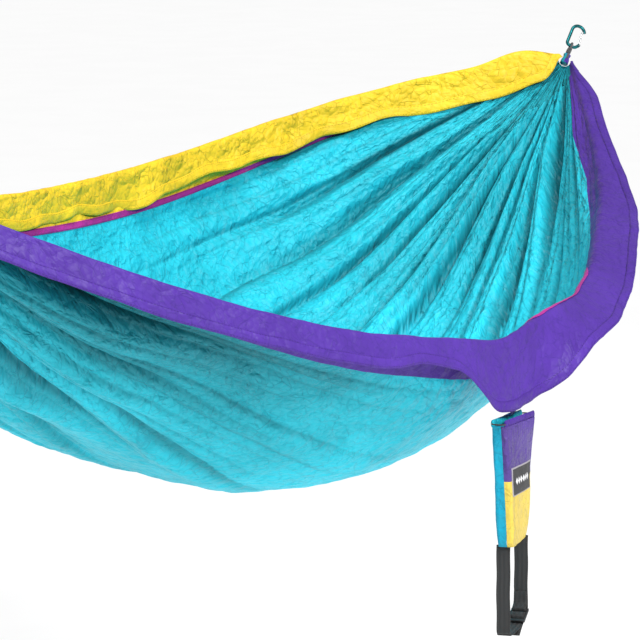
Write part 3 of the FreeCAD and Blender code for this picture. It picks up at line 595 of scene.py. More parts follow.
def metal(name, colour, roughness, wear):
    """Metal with a fine brushed grain and lighter rubbed patches."""
    material, tree, shader = new_material(name, colour, roughness, metallic=0.9)
    place = coordinates(tree, "Object")
    patches = noise(tree, place, 130.0, 4)
    stops = [(0.45, colour), (0.78, shade(colour, 1 + wear))]
    coloured(tree, shader, patches, stops)
    bumped(tree, shader, [(noise(tree, place, 1500.0, 2), 0.08, 0.0002)])
    tree.links.new(scaled(tree, patches, 0.2, roughness - 0.08), shader.inputs["Roughness"])
    return material


def plastic(name, colour):
    material, tree, shader = new_material(name, colour, 0.42)
    place = coordinates(tree, "Object")
    grain = noise(tree, place, 1800.0, 2)
    bumped(tree, shader, [(grain, 0.12, 0.0002)])
    stops = [(0.4, colour), (0.8, shade(colour, 1.8))]
    coloured(tree, shader, noise(tree, place, 240.0, 4), stops)
    return material


TEAL = (0.018, 0.53, 0.66)
PURPLE = (0.070, 0.026, 0.27)
YELLOW = (0.90, 0.59, 0.026)
MAGENTA = (0.42, 0.03, 0.27)
SACK_PURPLE = (0.085, 0.050, 0.24)
SACK_YELLOW = (0.68, 0.51, 0.085)
SACK_TEAL = (0.008, 0.31, 0.46)
GREY = (0.013, 0.013, 0.0135)
BLACK = (0.015, 0.015, 0.016)

# bed_teal carries the painted light and shade of the Lit attribute.
bed_teal = nylon("bed_teal_nylon", TEAL, painted_fold_shade=True)
teal = nylon("teal_nylon", TEAL)
# Painted shade: a copy of the teal nylon at half brightness, for the shaded gather at each neck.
painted_shade_gather = nylon("painted_shade_gather_nylon", shade(TEAL, 0.5))
purple = nylon("purple_nylon", PURPLE, 0.5)
yellow = nylon("yellow_nylon", YELLOW, 1.0)
sack_teal = nylon("sack_teal_nylon", SACK_TEAL, 0.5)
sack_purple = nylon("sack_purple_nylon", SACK_PURPLE, 0.9)
sack_yellow = nylon("sack_yellow_nylon", SACK_YELLOW, 0.7)
purple_hem = stitched("purple_hem", PURPLE, (0.002, 0.017))
yellow_hem = stitched("yellow_hem", YELLOW, (0.002, 0.017))
magenta = stitched("magenta_seam", MAGENTA, (0.002, 0.011))
strap_grey = webbing("strap_webbing", GREY)
rope_dark = braid("rope_braid", (0.05, 0.05, 0.055))
cord_black = braid("cord_braid", BLACK, 900.0)
anodised = metal("anodised_teal", (0.010, 0.105, 0.115), 0.36, 1.4)
steel = metal("gate_steel", (0.62, 0.63, 0.64), 0.26, 0.3)
black_plastic = plastic("black_acetal", BLACK)


# ---------------------------------------------------------------- the bed's pieces


def make_main_panel():
    xi = stations(290)[:, None]
    low, high = np.maximum(near_seam_at(xi), 0), CREST_TO_CREST - far_seam_at(xi)
    share = np.linspace(0, 1, 338)[None, :]
    v = low + (high - low) * share
    y, z = on_wall(xi, v)
    uv = np.stack([xi * PANEL_LENGTH / 2 + 0 * v, v + 0 * xi], -1)
    piece = grid_mesh("main_panel", bed_points(xi, y, z), uv)
    # Painted light and shade in the Lit attribute: the pleats' shade between the folds, a painted glow of
    # light through the cloth along the low belly, painted shade under the near flap towards the left end
    # and over the fanned folds towards the right end.
    painted_belly_glow = bump(np.degrees(v / BED_RADIUS + NEAR_CREST), 258, 26) * smooth(-0.35, 0.1, xi)
    painted_flap_shade = smooth(-0.05, -0.5, xi) * bump(v, 0.10, 0.22)
    painted_fan_shade = smooth(0.35, 0.75, xi) * bump(v, 0.55, 0.35)
    lit = pleats(xi, v)[1] * (1 + 0.35 * painted_belly_glow) * (1 - 0.60 * painted_flap_shade) * (1 - 0.35 * painted_fan_shade)
    layer = piece.data.attributes.new("Lit", "FLOAT", "POINT")
    layer.data.foreach_set("value", lit.ravel())
    finish_piece(piece, "hammock", "ripstop_teal", bed_teal, "main_panel")
    return piece


def make_side_panel(name, near, slot, material):
    xi = stations(420)
    steps = 44
    if near:
        seam = np.maximum(near_seam_at(xi), 0.0005)
        v = seam[:, None] * np.linspace(1, 0, 20)[None, :]
    else:
        seam = far_seam_at(xi)
        v = CREST_TO_CREST - seam[:, None] * np.linspace(1, 0, 20)[None, :]
    y, z = on_wall(xi[:, None], v)
    fy, fz, distance, _ = flap_line(xi, steps, near)
    y = np.concatenate([y, fy[:, 1:]], 1)
    z = np.concatenate([z, fz[:, 1:]], 1)
    across = np.concatenate([np.abs(v - v[:, -1:]) * -1, distance[:, 1:]], 1)
    uv = np.stack([xi[:, None] * PANEL_LENGTH / 2 + 0 * across, across], -1)
    piece = grid_mesh(name, bed_points(xi[:, None], y, z), uv)
    finish_piece(piece, "hammock", slot, material, name)
    return piece


def loop_strip(name, xi, y, z, ny, nz, width, half, slot, material):
    """A thin closed strip round lines of points, with rounded edges."""
    count = y.shape[1]
    taper = np.sin(np.linspace(0, math.pi, count)) ** 0.4
    thick = half * np.clip(taper, 0.15, 1)[None, :]
    up = (y + ny * thick, z + nz * thick)
    down = (y - ny * thick, z - nz * thick)
    ring_y = np.concatenate([up[0], down[0][:, ::-1]], 1)
    ring_z = np.concatenate([up[1], down[1][:, ::-1]], 1)
    across = np.linspace(0, width, count)
    across = np.concatenate([across, across[::-1]])[None, :] + 0 * ring_y
    uv = np.stack([xi[:, None] * PANEL_LENGTH / 2 + 0 * ring_y, across], -1)
    piece = grid_mesh(name, bed_points(xi[:, None], ring_y, ring_z), uv, loop_v=True, caps=True)
    finish_piece(piece, "hammock", slot, material, name)
    return piece


def make_hem(name, near, slot, material, width=0.020):
    xi = stations(420)
    length = (near_flap if near else far_flap)(xi)[0]
    y, z, _, angle = flap_line(xi, 90, near)
    share = 1 - (width / length[:, None]) * np.linspace(1, 0, 9)[None, :]
    share = np.clip(share, 0.35, 1)
    column = share * (y.shape[1] - 1)
    low = np.clip(column.astype(int), 0, y.shape[1] - 2)
    part = column - low
    rows = np.arange(len(xi))[:, None]

    def pick(a):
        return a[rows, low] * (1 - part) + a[rows, low + 1] * part

    a = pick(angle)
    return loop_strip(name, xi, pick(y), pick(z), np.sin(a), -np.cos(a), width, 0.0016, slot, material)


def make_seam(name, near, width=0.013):
    """The tape over a seam, which follows the wall and, past the crest, the flap."""
    xi = stations(420)
    middle = near_seam_at(xi) if near else CREST_TO_CREST - far_seam_at(xi)
    shrink = np.clip(1 - np.abs(xi) ** 3, 0.12, 1)
    v = middle[:, None] + width * shrink[:, None] * np.linspace(-0.5, 0.5, 7)[None, :]
    y, z = on_wall(xi[:, None], v)
    dy, dz = wall(xi[:, None], v + 0.002)
    y0, z0 = wall(xi[:, None], v)
    length = np.hypot(dy - y0, dz - z0)
    ny, nz = -(dz - z0) / length, (dy - y0) / length
    if near:
        fy, fz, distance, angle = flap_line(xi, 90, True)
        column = np.clip(-v / distance[:, -1:], 0, 0.98) * 89
        low = column.astype(int)
        part = column - low
        rows = np.arange(len(xi))[:, None]
        past = v < 0
        y = np.where(past, fy[rows, low] * (1 - part) + fy[rows, low + 1] * part, y)
        z = np.where(past, fz[rows, low] * (1 - part) + fz[rows, low + 1] * part, z)
        ny = np.where(past, np.sin(angle[rows, low]), ny)
        nz = np.where(past, -np.cos(angle[rows, low]), nz)
    side = 0.0013 * (1 - 2 * smooth(0.36, 0.40, xi) * near)[:, None]
    y, z = y + ny * side, z + nz * side
    return loop_strip(name, xi, y, z, ny, nz, width, 0.0009, "seam_magenta", magenta)


def make_bed():
    panel = make_main_panel()
    near = make_side_panel("near_side_panel", True, "ripstop_purple", purple)
    far = make_side_panel("far_side_panel", False, "ripstop_yellow", yellow)
    near_hem = make_hem("near_hem", True, "ripstop_purple", purple_hem)
    far_hem = make_hem("far_hem", False, "ripstop_yellow", yellow_hem)
    near_seam = make_seam("near_seam", True)
    far_seam = make_seam("far_seam", False)


# ---------------------------------------------------------------- the ends


def end_axes(side):
    """Neck, pull, across and normal of an end; side is 1 at the right, -1 at the left."""
    flip = np.array([side, 1, 1])
    along, across = PULL * flip, ACROSS * flip
    neck = RIGHT_NECK if side == 1 else LEFT_NECK
    return neck, along, across, np.cross(along, across)


def in_end(side, t, w, n):
    neck, along, across, normal = end_axes(side)
    t, w, n = np.broadcast_arrays(t, w, n)
    return neck + t[..., None] * along + w[..., None] * across + n[..., None] * normal


def make_gather(side, suffix):
    """The sewn channel, drawn up into pleats round the rope's lower bend."""
    turn = np.linspace(0, 2 * math.pi, 240, endpoint=False)[None, :]
    t = np.linspace(-0.014, 0.0092, 46)[:, None]
    share = (t + 0.014) / 0.0232
    radius = 0.0082 - 0.0024 * share + 0.0010 * bump(share, 0.90, 0.08) - 0.001 * bump(share, 0.6, 0.15)
    draw = np.random.default_rng(60 + side)
    fold = np.zeros(turn.shape)
    for count in (13, 19, 31):
        fold = fold + np.sin(count * turn + 6.3 * draw.random()) / count**0.5
    radius = radius * (1 + 0.17 * fold * (0.5 + 0.5 * smooth(0.1, 0.5, share)))
    radius = radius * (1 - 0.9 * smooth(0.965, 1.0, share))
    ring = in_end(side, t + 0 * turn, radius * np.cos(turn), radius * np.sin(turn))
    uv = np.stack([t + 0 * turn, turn * 0.01 + 0 * t], -1)
    piece = grid_mesh(f"end_gather_{suffix}", ring, uv, loop_v=True, caps=True)
    for material in (painted_shade_gather, purple, yellow):
        piece.data.materials.append(material)
    centre = end_axes(side)[0][1]
    for face in piece.data.polygons:
        off = face.center.y - centre
        face.material_index = 1 if off < -0.003 else 2 if off > 0.005 else 0
    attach(piece, "hammock")
    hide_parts(f"end_gather_{suffix}")


def stadium(turn, bend, reach):
    """A closed loop of two straight legs and two half-rings: (along, across), by share."""
    lap = 2 * reach + 2 * math.pi * bend
    s = (turn % 1.0) * lap
    half = math.pi * bend
    along = np.zeros(s.shape)
    across = np.zeros(s.shape)
    first = s < reach
    along = np.where(first, s, along)
    across = np.where(first, -bend, across)
    second = (s >= reach) & (s < reach + half)
    a = (s - reach) / bend
    along = np.where(second, reach + bend * np.sin(a), along)
    across = np.where(second, -bend * np.cos(a), across)
    third = (s >= reach + half) & (s < 2 * reach + half)
    along = np.where(third, 2 * reach + half - s, along)
    across = np.where(third, bend, across)
    fourth = s >= 2 * reach + half
    a = (s - 2 * reach - half) / bend
    along = np.where(fourth, -bend * np.sin(a), along)
    across = np.where(fourth, bend * np.cos(a), across)
    return along, across


def make_rope_loop(side, suffix):
    """A closed loop of braided rope: the braid is a small relief of crossing strands."""
    count = 420
    s = np.arange(count) / count
    t, n = stadium(s, ROPE_BEND, ROPE_REACH)
    t2, n2 = stadium(s + 0.001, ROPE_BEND, ROPE_REACH)
    dt, dn = t2 - t, n2 - n
    length = np.hypot(dt, dn)
    ot, on = dn / length, -dt / length
    turn = np.linspace(0, 2 * math.pi, 40, endpoint=False)
    lap = (2 * ROPE_REACH + 2 * math.pi * ROPE_BEND) * s
    phase = lap[:, None] / 0.0046 * 2 * math.pi
    weave = np.sin(4 * turn[None, :] + phase) * np.sin(4 * turn[None, :] - phase)
    radius = ROPE_RADIUS * (0.97 + 0.05 * weave)
    out = radius * np.cos(turn)
    side_way = radius * np.sin(turn)
    points = in_end(side, t[:, None] + ot[:, None] * out, side_way, n[:, None] + on[:, None] * out)
    piece = grid_mesh(f"rope_loop_{suffix}", points, loop_u=True, loop_v=True)
    finish_piece(piece, "hammock", "rope_dark", rope_dark, f"rope_loop_{suffix}")


def make_whipping(side, suffix):
    """Turns of cord wound round both legs of the rope."""
    turns = 8
    around = 96
    rows = turns * 10
    half = ROPE_RADIUS + 0.0012
    angle = np.linspace(0, 2 * math.pi, around, endpoint=False)[None, :]
    share = np.linspace(0, 1, rows)[:, None]
    slope = angle / (2 * math.pi) / turns
    ridge = np.abs(np.sin(math.pi * turns * (share - slope)))
    radius = half + 0.0006 * ridge * np.sin(math.pi * np.clip(share, 0.04, 0.96)) ** 0.2
    w = radius * np.cos(angle)
    n = radius * np.sin(angle) + ROPE_BEND * np.sign(np.sin(angle)) * np.abs(np.sin(angle)) ** 0.35
    t = WHIPPING_START + WHIPPING_LENGTH * share
    piece = grid_mesh(f"whipping_{suffix}", in_end(side, t, w, n), loop_v=True, caps=True)
    finish_piece(piece, "hammock", "rope_dark", rope_dark, f"whipping_{suffix}")


def repaint(name, material):
    """A CAD node that keeps its shape and gets its own material."""
    thing = frame["nodes"][name]
    thing.data.materials.clear()
    thing.data.materials.append(material)
    for face in thing.data.polygons:
        face.use_smooth = True
    thing.data.set_sharp_from_angle(angle=math.radians(35))


def make_ends():
    for side, suffix in ((1, "right"), (-1, "left")):
        make_gather(side, suffix)
        make_rope_loop(side, suffix)
        make_whipping(side, suffix)
        repaint(f"carabiner_{suffix}", anodised)
        repaint(f"gate_{suffix}", steel)


# ---------------------------------------------------------------- the stuff sack

SACK_ORIGIN = np.array(
    next(j for j in frame["joints"] if j["name"] == "sack_swing")["pos_m"]
)


def in_sack(x, y, z, twisted=0.0):
    x, y, z = np.broadcast_arrays(x, y, z)
    yaw = SACK_YAW + twisted
    c, s = np.cos(yaw), np.sin(yaw)
    return np.stack([c * x - s * y, s * x + c * y, z], -1) + SACK_ORIGIN


def sack_outline(share):
    """The sack's cross-section as a rounded box: (x, y) at shares of a lap from back left."""
    corner = 0.006
    w, d = SACK_WIDTH / 2 - corner, SACK_DEPTH / 2 - corner
    arc = math.pi * corner / 2
    runs = [("line", -w, d + corner, w, d + corner, 2 * w), ("arc", w, d, 90, 0, arc),
            ("line", w + corner, d, w + corner, -d, 2 * d), ("arc", w, -d, 0, -90, arc),
            ("line", w, -d - corner, -w, -d - corner, 2 * w), ("arc", -w, -d, -90, -180, arc),
            ("line", -w - corner, -d, -w - corner, d, 2 * d), ("arc", -w, d, 180, 90, arc)]
    lap = sum(r[-1] for r in runs)
    s = (share % 1.0) * lap
    x, y = np.zeros(s.shape), np.zeros(s.shape)
    start = 0
    for kind, a, b, c, e, length in runs:
        part = np.clip((s - start) / length, 0, 1)
        here = (s >= start) & (s <= start + length)
        if kind == "line":
            px, py = a + (c - a) * part, b + (e - b) * part
        else:
            turn = np.radians(c + (e - c) * part)
            px, py = a + corner * np.cos(turn), b + corner * np.sin(turn)
        x, y = np.where(here, px, x), np.where(here, py, y)
        start += length
    return x, y, lap


SACK_TWIST = math.radians(10)


def sack_point(share, z):
    """A point of the stuffed sack's skin, with its bulge, puckers and creases."""
    x, y, lap = sack_outline(share)
    height = (z - SACK_BOTTOM) / (MOUTH_TOP - SACK_BOTTOM)
    full = np.sin(math.pi * np.clip(height, 0, 1)) ** 0.7
    bulge = 1 + 0.10 * full * np.cos(math.pi * x / SACK_WIDTH) - 0.10 * smooth(0.1, 0, height)
    y = y * bulge
    x = x * (1 - 0.020 * full - 0.05 * smooth(0.04, 0.0, height) ** 2)
    fine = crumple(share * lap + 9 + 0 * z, z + 5 + 0 * share, 51) * 0.55
    mouth = smooth(0.80, 0.97, height)
    pucker = 0.0012 * mouth * np.sin(share * lap / 0.0105 * 2 * math.pi)
    out = np.clip(np.abs(y) / (SACK_DEPTH / 2), 0, 1)
    y = y + np.sign(y) * out * (fine + pucker)
    x = x * (1.0 - 0.07 * (1 - height))
    return in_sack(x, y, z, SACK_TWIST * (0.5 - height))


def lap_share(x, y):
    """The share of the lap at which the outline passes nearest to a point."""
    s = np.linspace(0, 1, 4001)
    px, py, _ = sack_outline(s)
    return s[np.argmin(np.hypot(px - x, py - y))]


SPLIT_Y = -SACK_DEPTH / 2 + FRONT_DEPTH
SPLIT_RIGHT = lap_share(SACK_WIDTH / 2, SPLIT_Y)
SPLIT_LEFT = lap_share(-SACK_WIDTH / 2, SPLIT_Y)


def skin_piece(name, first, last, top, bottom, columns, rows, slot, material, floor=False):
    """A panel of the sack between two shares of its lap. One with a floor is turned in below."""
    share = np.linspace(first, last, columns)[None, :]
    z = np.linspace(top, bottom, rows)[:, None]
    points = sack_point(share, z)
    _, _, lap = sack_outline(share)
    uv = np.stack([share * lap + 0 * z, z + 0 * share], -1)
    if floor:
        edge = points[-1]
        middle = edge.mean(0)
        extra = [
            edge + (middle - edge) * k + np.array([0, 0, -0.0015 * math.sin(k * 3)])
            for k in (0.12, 0.4, 0.75, 1.0)
        ]
        points = np.concatenate([points, np.stack(extra)], 0)
        drop = np.stack([uv[-1] - np.array([0, 0.01 * (i + 1)]) for i in range(4)])
        uv = np.concatenate([uv, drop], 0)
    piece = grid_mesh(name, points, uv)
    solid = piece.modifiers.new("Thickness", "SOLIDIFY")
    solid.thickness = 0.0006
    solid.offset = -1
    finish_piece(piece, "sack", slot, material, name)
    return piece


def make_label():
    """The stitched patch on the front of the sack."""
    width, height, top = 0.115, 0.050, -0.090
    x = np.linspace(-width / 2, width / 2, 90)[None, :]
    z = np.linspace(top, top - height, 44)[:, None]
    share = np.array([lap_share(v, -SACK_DEPTH / 2) for v in x[0]])[None, :]
    points = sack_point(share + 0 * z, z + 0 * x)
    forward = in_sack(0.0, -1.0, 0.0) - in_sack(0.0, 0.0, 0.0)
    edge = np.minimum(
        np.minimum(x + width / 2, width / 2 - x) / 0.002,
        np.minimum(z - top + height, top - z) / 0.002,
    )
    lift = 0.0006 + 0.0012 * np.clip(edge, 0, 1) ** 0.5
    points = points + forward * lift[..., None]
    uv = np.stack([x + 0 * z, z + 0 * x], -1)
    piece = grid_mesh("sack_label", points, uv)
    finish_piece(piece, "sack", "label_grey", label_material(width, height, top), "sack_label")


def label_material(width, height, top):
    """Dark woven patch with a pale border and a row of plain diamonds."""
    material, tree, shader = new_material("label_patch", (0.03, 0.03, 0.032), 0.6)
    x, z = separated(tree, coordinates(tree))
    middle = maths(tree, "SUBTRACT", z, top - height / 2)
    off_x = maths(tree, "SUBTRACT", maths(tree, "ABSOLUTE", x), width / 2 - 0.0035)
    off_z = maths(tree, "SUBTRACT", maths(tree, "ABSOLUTE", middle), height / 2 - 0.0025)
    border = maths(tree, "GREATER_THAN", maths(tree, "MAXIMUM", off_x, off_z), 0.0)
    weave = maths(tree, "SINE", maths(tree, "MULTIPLY", x, 4200.0))
    patch = mixed(tree, border, (0.028, 0.028, 0.03, 1), (0.30, 0.28, 0.31, 1))
    zigzag = maths(tree, "SUBTRACT", maths(tree, "PINGPONG", x, 0.0135), 0.00675)
    diamond = maths(tree, "ADD", maths(tree, "ABSOLUTE", zigzag), maths(tree, "ABSOLUTE", middle))
    inside = maths(tree, "LESS_THAN", diamond, 0.0064)
    row = maths(tree, "LESS_THAN", maths(tree, "ABSOLUTE", x), 0.0405)
    motif = maths(tree, "MULTIPLY", inside, row)
    tree.links.new(mixed(tree, motif, patch, (0.75, 0.75, 0.76, 1)), shader.inputs["Base Color"])
    bumped(tree, shader, [(border, 0.6, 0.0008), (weave, 0.2, 0.0003)])
    return material


def smooth_line(corners, spacing):
    """A Catmull-Rom line through corners, sampled every spacing metres."""
    corners = np.asarray(corners, float)
    ends = np.vstack([2 * corners[0] - corners[1], corners, 2 * corners[-1] - corners[-2]])
    line = []
    for i in range(1, len(ends) - 2):
        p0, p1, p2, p3 = ends[i - 1 : i + 3]
        count = max(2, int(np.linalg.norm(p2 - p1) / spacing))
        t = np.linspace(0, 1, count, endpoint=False)[:, None]
        line.append(0.5 * (2 * p1 + (p2 - p0) * t + (2 * p0 - 5 * p1 + 4 * p2 - p3) * t**2
                           + (3 * p1 - p0 - 3 * p2 + p3) * t**3))
    return np.vstack(line + [corners[-1:]])


def ribbon(name, corners, width, thickness, body, slot, material):
    """Webbing along a line in the sack's XZ plane, its width along the sack's Y."""
    line = smooth_line(corners, 0.0016)
    step = directions(line)
    normal = np.stack([step[:, 1], -step[:, 0]], 1)
    run = np.concatenate([[0], np.cumsum(np.linalg.norm(np.diff(line, axis=0), axis=1))])
    count = 17
    y = np.linspace(-width / 2, width / 2, count)
    edge = np.clip((width / 2 - np.abs(y)) / 0.0008, 0, 1) ** 0.5
    half = thickness / 2 * (0.25 + 0.75 * edge)
    sides = []
    for sign in (1, -1):
        x = line[:, 0][:, None] + sign * normal[:, 0][:, None] * half[None, :]
        z = line[:, 1][:, None] + sign * normal[:, 1][:, None] * half[None, :]
        sway = 0.0004 * np.sin(run * 90)[:, None]
        row = in_sack(x, y[None, :] + sway, z)
        sides.append(row if sign == 1 else row[:, ::-1])
    points = np.concatenate(sides, 1)
    across = np.concatenate([y, y[::-1]])[None, :] + 0 * run[:, None]
    uv = np.stack([run[:, None] + 0 * across, across], -1)
    piece = grid_mesh(name, points, uv, loop_v=True, caps=True)
    return finish_piece(piece, body, slot, material, name)


WEB, WEB_THICK = 0.025, 0.0016
LOCK_X, LOCK_Z, LOCK_TILT = 0.050, -0.356, math.radians(32)
LOOP_BOTTOM, LEG = -0.385, 0.054
LOCK_PITCH, LOCK_BAR, LOCK_THICK = 0.014, 0.0045, 0.004


def from_lock(along, below):
    return (
        LOCK_X - along * math.cos(LOCK_TILT) + below * math.sin(LOCK_TILT),
        LOCK_Z - along * math.sin(LOCK_TILT) - below * math.cos(LOCK_TILT),
    )


def make_straps():
    under = LOCK_THICK / 2 + WEB_THICK / 2 + 0.0003
    long_line = [
        (-LEG, SACK_BOTTOM + 0.002), (-LEG - 0.0004, -0.28), (-LEG + 0.0008, -0.34),
        (-LEG + 0.003, LOOP_BOTTOM + 0.012), (-LEG + 0.007, LOOP_BOTTOM + 0.004),
        (-LEG + 0.015, LOOP_BOTTOM + 0.001),
        from_lock(2 * LOCK_PITCH + 0.010, under), from_lock(2 * LOCK_PITCH - 0.004, under),
        from_lock(LOCK_PITCH + 0.0045, -under), from_lock(LOCK_PITCH - 0.004, -under),
        from_lock(LOCK_PITCH - 0.0085, under + 0.0004), from_lock(LOCK_PITCH - 0.005, under + 0.0024),
        from_lock(0.036, under + 0.0030), from_lock(0.058, under + 0.004),
    ]
    ribbon("strap_long", long_line, WEB, WEB_THICK, "strap", "webbing_grey", strap_grey)
    turn = LOCK_BAR / 2 + WEB_THICK + 0.0006
    short_line = [(LEG, SACK_BOTTOM + 0.002), (LEG, -0.28), (LOCK_X + turn, LOCK_Z + 0.02)]
    for angle in (0, -45, -90, -135, -180):
        a = math.radians(angle)
        short_line.append((LOCK_X + turn * math.cos(a), LOCK_Z + turn * math.sin(a)))
    sewn = LOCK_X + turn - WEB_THICK - 0.0003
    short_line += [(LOCK_X - turn, LOCK_Z + 0.005), (sewn, LOCK_Z + 0.013), (sewn, LOCK_Z + 0.032)]
    ribbon("strap_short", short_line, WEB, WEB_THICK, "strap", "webbing_grey", strap_grey)


def bevelled(name, body, slot, material, width):
    """A copy of a CAD node with its edges broken, which stands for it."""
    source = frame["nodes"][name]
    mesh = source.data.copy()
    piece = place_object(f"{name}_moulded", mesh)
    mesh.materials.clear()
    weld = piece.modifiers.new("Weld", "WELD")
    weld.merge_threshold = 0.00001
    edge = piece.modifiers.new("Edges", "BEVEL")
    edge.width = width
    edge.segments = 3
    edge.limit_method = "ANGLE"
    edge.angle_limit = math.radians(40)
    for face in mesh.polygons:
        face.use_smooth = True
    mesh.set_sharp_from_angle(angle=math.radians(50))
    return finish_piece(piece, body, slot, material, name)


def make_channels():
    """The drawcord channel: a soft tube along each side of the mouth."""
    half = MOUTH_HEIGHT / 2
    level = MOUTH_TOP - half
    x = np.linspace(-SACK_WIDTH / 2 + 0.001, SACK_WIDTH / 2 - 0.001, 150)[:, None]
    turn = np.linspace(0, 2 * math.pi, 32, endpoint=False)[None, :]
    for side, suffix, slot, material in (
        (-1, "front", "ripstop_purple", purple_hem), (1, "back", "ripstop_teal", teal),
    ):
        pucker = 1 + 0.16 * np.sin(x / 0.0075 * 2 * math.pi + side) + 0.08 * np.sin(x / 0.0031 * 6.28)
        y = side * (SACK_DEPTH / 2 - 0.0026) + 0.0026 * pucker * np.cos(turn)
        z = level + (half + 0.0008) * np.sin(turn) * (1 + 0.03 * (pucker - 1))
        uv = np.stack([x + 0 * turn, turn * 0.003 + 0 * x], -1)
        piece = grid_mesh(
            f"mouth_channel_{suffix}", in_sack(x + 0 * turn, y, z, -SACK_TWIST / 2), uv,
            loop_v=True, caps=True,
        )
        finish_piece(piece, "sack", slot, material, f"mouth_channel_{suffix}")


def tube(name, line, radius, body, slot, material, closed=False, sides=16):
    """A round cord along a line of points in the row frame."""
    line = np.asarray(line, float)
    step = directions(line, closed)
    up = np.array([0.13, 0.27, 1.0])
    first = np.cross(step, up)
    first = first / np.linalg.norm(first, axis=1)[:, None]
    second = np.cross(step, first)
    turn = np.linspace(0, 2 * math.pi, sides, endpoint=False)
    ring = first[:, None] * np.cos(turn)[None, :, None] + second[:, None] * np.sin(turn)[None, :, None]
    points = line[:, None] + radius * ring
    piece = grid_mesh(name, points, loop_u=closed, loop_v=True, caps=not closed)
    return finish_piece(piece, body, slot, material, name)


def make_cords():
    level = MOUTH_TOP - MOUTH_HEIGHT / 2
    radius = 0.00125
    overhang, corner = 0.0063, 0.006
    w, d = SACK_WIDTH / 2 + overhang - corner, SACK_DEPTH / 2 - 0.0025 - corner
    line = []
    for cx, cy, start in ((w, -d, -90), (w, d, 0), (-w, d, 90), (-w, -d, 180)):
        for angle in np.linspace(start, start + 90, 9):
            a = math.radians(angle)
            line.append((cx + corner * math.cos(a), cy + corner * math.sin(a)))
        following = {-90: (w, 0), 0: (0, d + corner), 90: (-w - corner, 0), 180: (0, -d - corner)}
        if start in (0, 180):
            line.append(following[start])
    ring = np.array([[x, y, level] for x, y in line])
    points = in_sack(ring[:, 0], ring[:, 1], ring[:, 2], -SACK_TWIST / 2)
    tube("drawcord", points, radius, "sack", "cord_black", cord_black, closed=True)
    reach, bend, bottom, tail_x = 0.009, 0.005, -0.062, 0.040
    start = SACK_DEPTH / 2 + 0.0003
    y = SACK_DEPTH / 2 + reach
    route = [(tail_x, start, level), (tail_x, start + 0.003, level), (tail_x, y - 0.0008, level - 0.0008),
             (tail_x, y, level - bend), (tail_x, y, -0.030), (tail_x, y, -0.046), (tail_x, y, bottom)]
    curve = bpy.data.curves.new("drawcord_tail", "CURVE")
    curve.dimensions = "3D"
    curve.bevel_depth = radius
    curve.bevel_resolution = 4
    curve.resolution_u = 8
    curve.use_fill_caps = True
    spline = curve.splines.new("NURBS")
    spline.points.add(len(route) - 1)
    for point, place in zip(spline.points, route):
        point.co = (*in_sack(*place), 1)
    spline.order_u = 3
    spline.use_endpoint_u = True
    tail = place_object("drawcord_tail", curve)
    curve.materials.append(cord_black)
    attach(tail, "sack")
    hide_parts("drawcord_tail")
    knot = make_knot(in_sack(tail_x, y, bottom - 0.0003))
    in_sack(*route[0])


def make_knot(centre):
    """An overhand knot: a trefoil of cord drawn tight."""
    s = np.linspace(0, 2 * math.pi, 90, endpoint=False)
    size = 0.00105
    x = size * (np.sin(s) + 1.5 * np.sin(2 * s))
    y = size * (np.cos(s) - 1.5 * np.cos(2 * s))
    line = np.stack([x, y, -size * 1.3 * np.sin(3 * s)], -1) + centre
    return tube(
        "drawcord_knot", line, 0.00105, "sack", "cord_black", cord_black, closed=True, sides=12
    )


def make_tab():
    """A folded tab of webbing from the back channel up to the hem."""
    width = 0.028
    corners = [
        (0.0122, -0.012), (0.0135, -0.0075), (0.0110, -0.0045), (0.0050, -0.0036),
        (0.0008, -0.0018), (0.0, 0.0035), (0.0, 0.012),
    ]
    line = smooth_line(corners, 0.0008)
    x = np.linspace(-width / 2, width / 2, 15)
    step = directions(line)
    rows = []
    for sign in (1, -1):
        y = line[:, 0][:, None] + sign * 0.0008 * step[:, 1][:, None] + 0 * x[None, :]
        z = line[:, 1][:, None] - sign * 0.0008 * step[:, 0][:, None] + 0 * x[None, :]
        row = in_sack(x[None, :] + 0 * y, y, z)
        rows.append(row if sign == 1 else row[:, ::-1])
    points = np.concatenate(rows, 1)
    run = np.arange(len(line))[:, None] * 0.0008
    across = np.concatenate([x, x[::-1]])[None, :]
    uv = np.stack([run + 0 * across, across + 0 * run], -1)
    piece = grid_mesh("hanging_tab", points, uv, loop_v=True, caps=True)
    finish_piece(piece, "sack", "ripstop_purple", purple, "hanging_tab")


def make_sack():
    top = MOUTH_TOP - MOUTH_HEIGHT + 0.002
    skin_piece("sack_front_upper", SPLIT_RIGHT, SPLIT_LEFT, top, COLOUR_BREAK, 230, 90,
               "ripstop_purple", sack_purple)
    skin_piece("sack_front_lower", SPLIT_RIGHT, SPLIT_LEFT, COLOUR_BREAK, SACK_BOTTOM, 230, 120,
               "ripstop_yellow", sack_yellow, floor=True)
    skin_piece("sack_back", SPLIT_LEFT - 1, SPLIT_RIGHT, top, SACK_BOTTOM, 250, 200,
               "ripstop_teal", sack_teal, floor=True)
    make_label()
    make_channels()
    make_tab()
    make_cords()
    make_straps()
    bevelled("ladder_lock", "strap", "plastic_black", black_plastic, 0.0007)
    bevelled("cord_lock_barrel", "cord_lock", "plastic_black", black_plastic, 0.0005)
    bevelled("cord_lock_button", "cord_lock_button", "plastic_black", black_plastic, 0.0004)
    repaint("cord_lock_spring", steel)


# ---------------------------------------------------------------- camera, light and floor

CAMERA_AZIMUTH, CAMERA_PITCH = math.radians(32.86), math.radians(7.36)
CAMERA_DISTANCE = 9.22
CAMERA_LENS, CAMERA_SENSOR = 259.7015, 36
AIM_RIGHT, AIM_UP = 0.0532823, 0.0567478


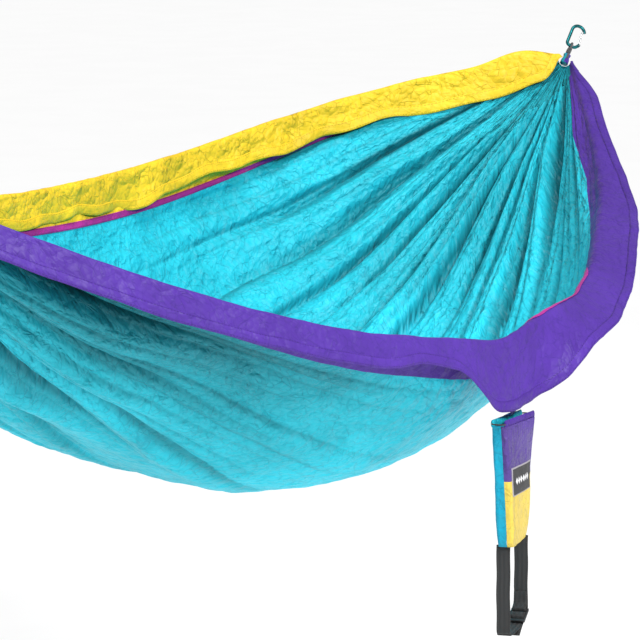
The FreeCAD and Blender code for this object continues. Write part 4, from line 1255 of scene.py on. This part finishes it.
def make_camera():
    """Looks along the bed towards its right-hand end, which stands high in the picture."""
    c, s = math.cos(CAMERA_AZIMUTH), math.sin(CAMERA_AZIMUTH)
    ahead = np.array([c * math.cos(CAMERA_PITCH), s * math.cos(CAMERA_PITCH), -math.sin(CAMERA_PITCH)])
    right = np.array([s, -c, 0])
    up = np.cross(right, ahead)
    place = RIGHT_NECK - CAMERA_DISTANCE * (AIM_RIGHT * right + AIM_UP * up + ahead)
    data = bpy.data.cameras.new("camera")
    data.sensor_width = CAMERA_SENSOR
    data.lens = CAMERA_LENS
    data.clip_end = 200
    camera = place_object("camera", data)
    camera.location = place
    camera.rotation_euler = Vector(ahead).to_track_quat("-Z", "Y").to_euler()
    bpy.context.scene.camera = camera


def area_light(name, place, target, size, power):
    data = bpy.data.lights.new(name, "AREA")
    data.shape = "DISK"
    data.size = size
    data.energy = power
    lamp = place_object(name, data)
    lamp.location = place
    lamp.rotation_euler = (Vector(target) - Vector(place)).to_track_quat("-Z", "Y").to_euler()


def make_studio():
    """Soft light from above and from the camera's right, over a white floor."""
    middle = BED_ORIGIN + np.array([0, 0, -0.4])
    area_light("key", middle + np.array([-1.3, -4.0, 2.8]), middle, 0.9, 190)
    data = bpy.data.lights.new("overhead", "SUN")
    data.energy = 2.35
    data.angle = math.radians(22)
    sun = place_object("overhead", data)
    sun.rotation_euler = (math.radians(12), math.radians(-16), 0)
    world = bpy.data.worlds.new("studio")
    bpy.context.scene.world = world
    world.use_nodes = True
    world.node_tree.nodes["Background"].inputs["Color"].default_value = (1, 1, 1, 1)
    world.node_tree.nodes["Background"].inputs["Strength"].default_value = 0.33
    bpy.context.scene.view_settings.view_transform = "Standard"
    level = cad_box[0][2] - 0.6
    floor = grid_mesh("floor", np.array([[[x, y, level] for y in (-60, 60)] for x in (-60, 60)], float))
    material, tree, shader = new_material("floor_paper", (0.93, 0.93, 0.93), 0.9)
    place = coordinates(tree, "Object")
    stops = [(0.4, (0.965, 0.965, 0.965)), (0.6, (0.975, 0.975, 0.975))]
    coloured(tree, shader, noise(tree, place, 3.0, 3), stops)
    floor.data.materials.append(material)


make_camera()
make_bed()
make_ends()
make_sack()
make_studio()
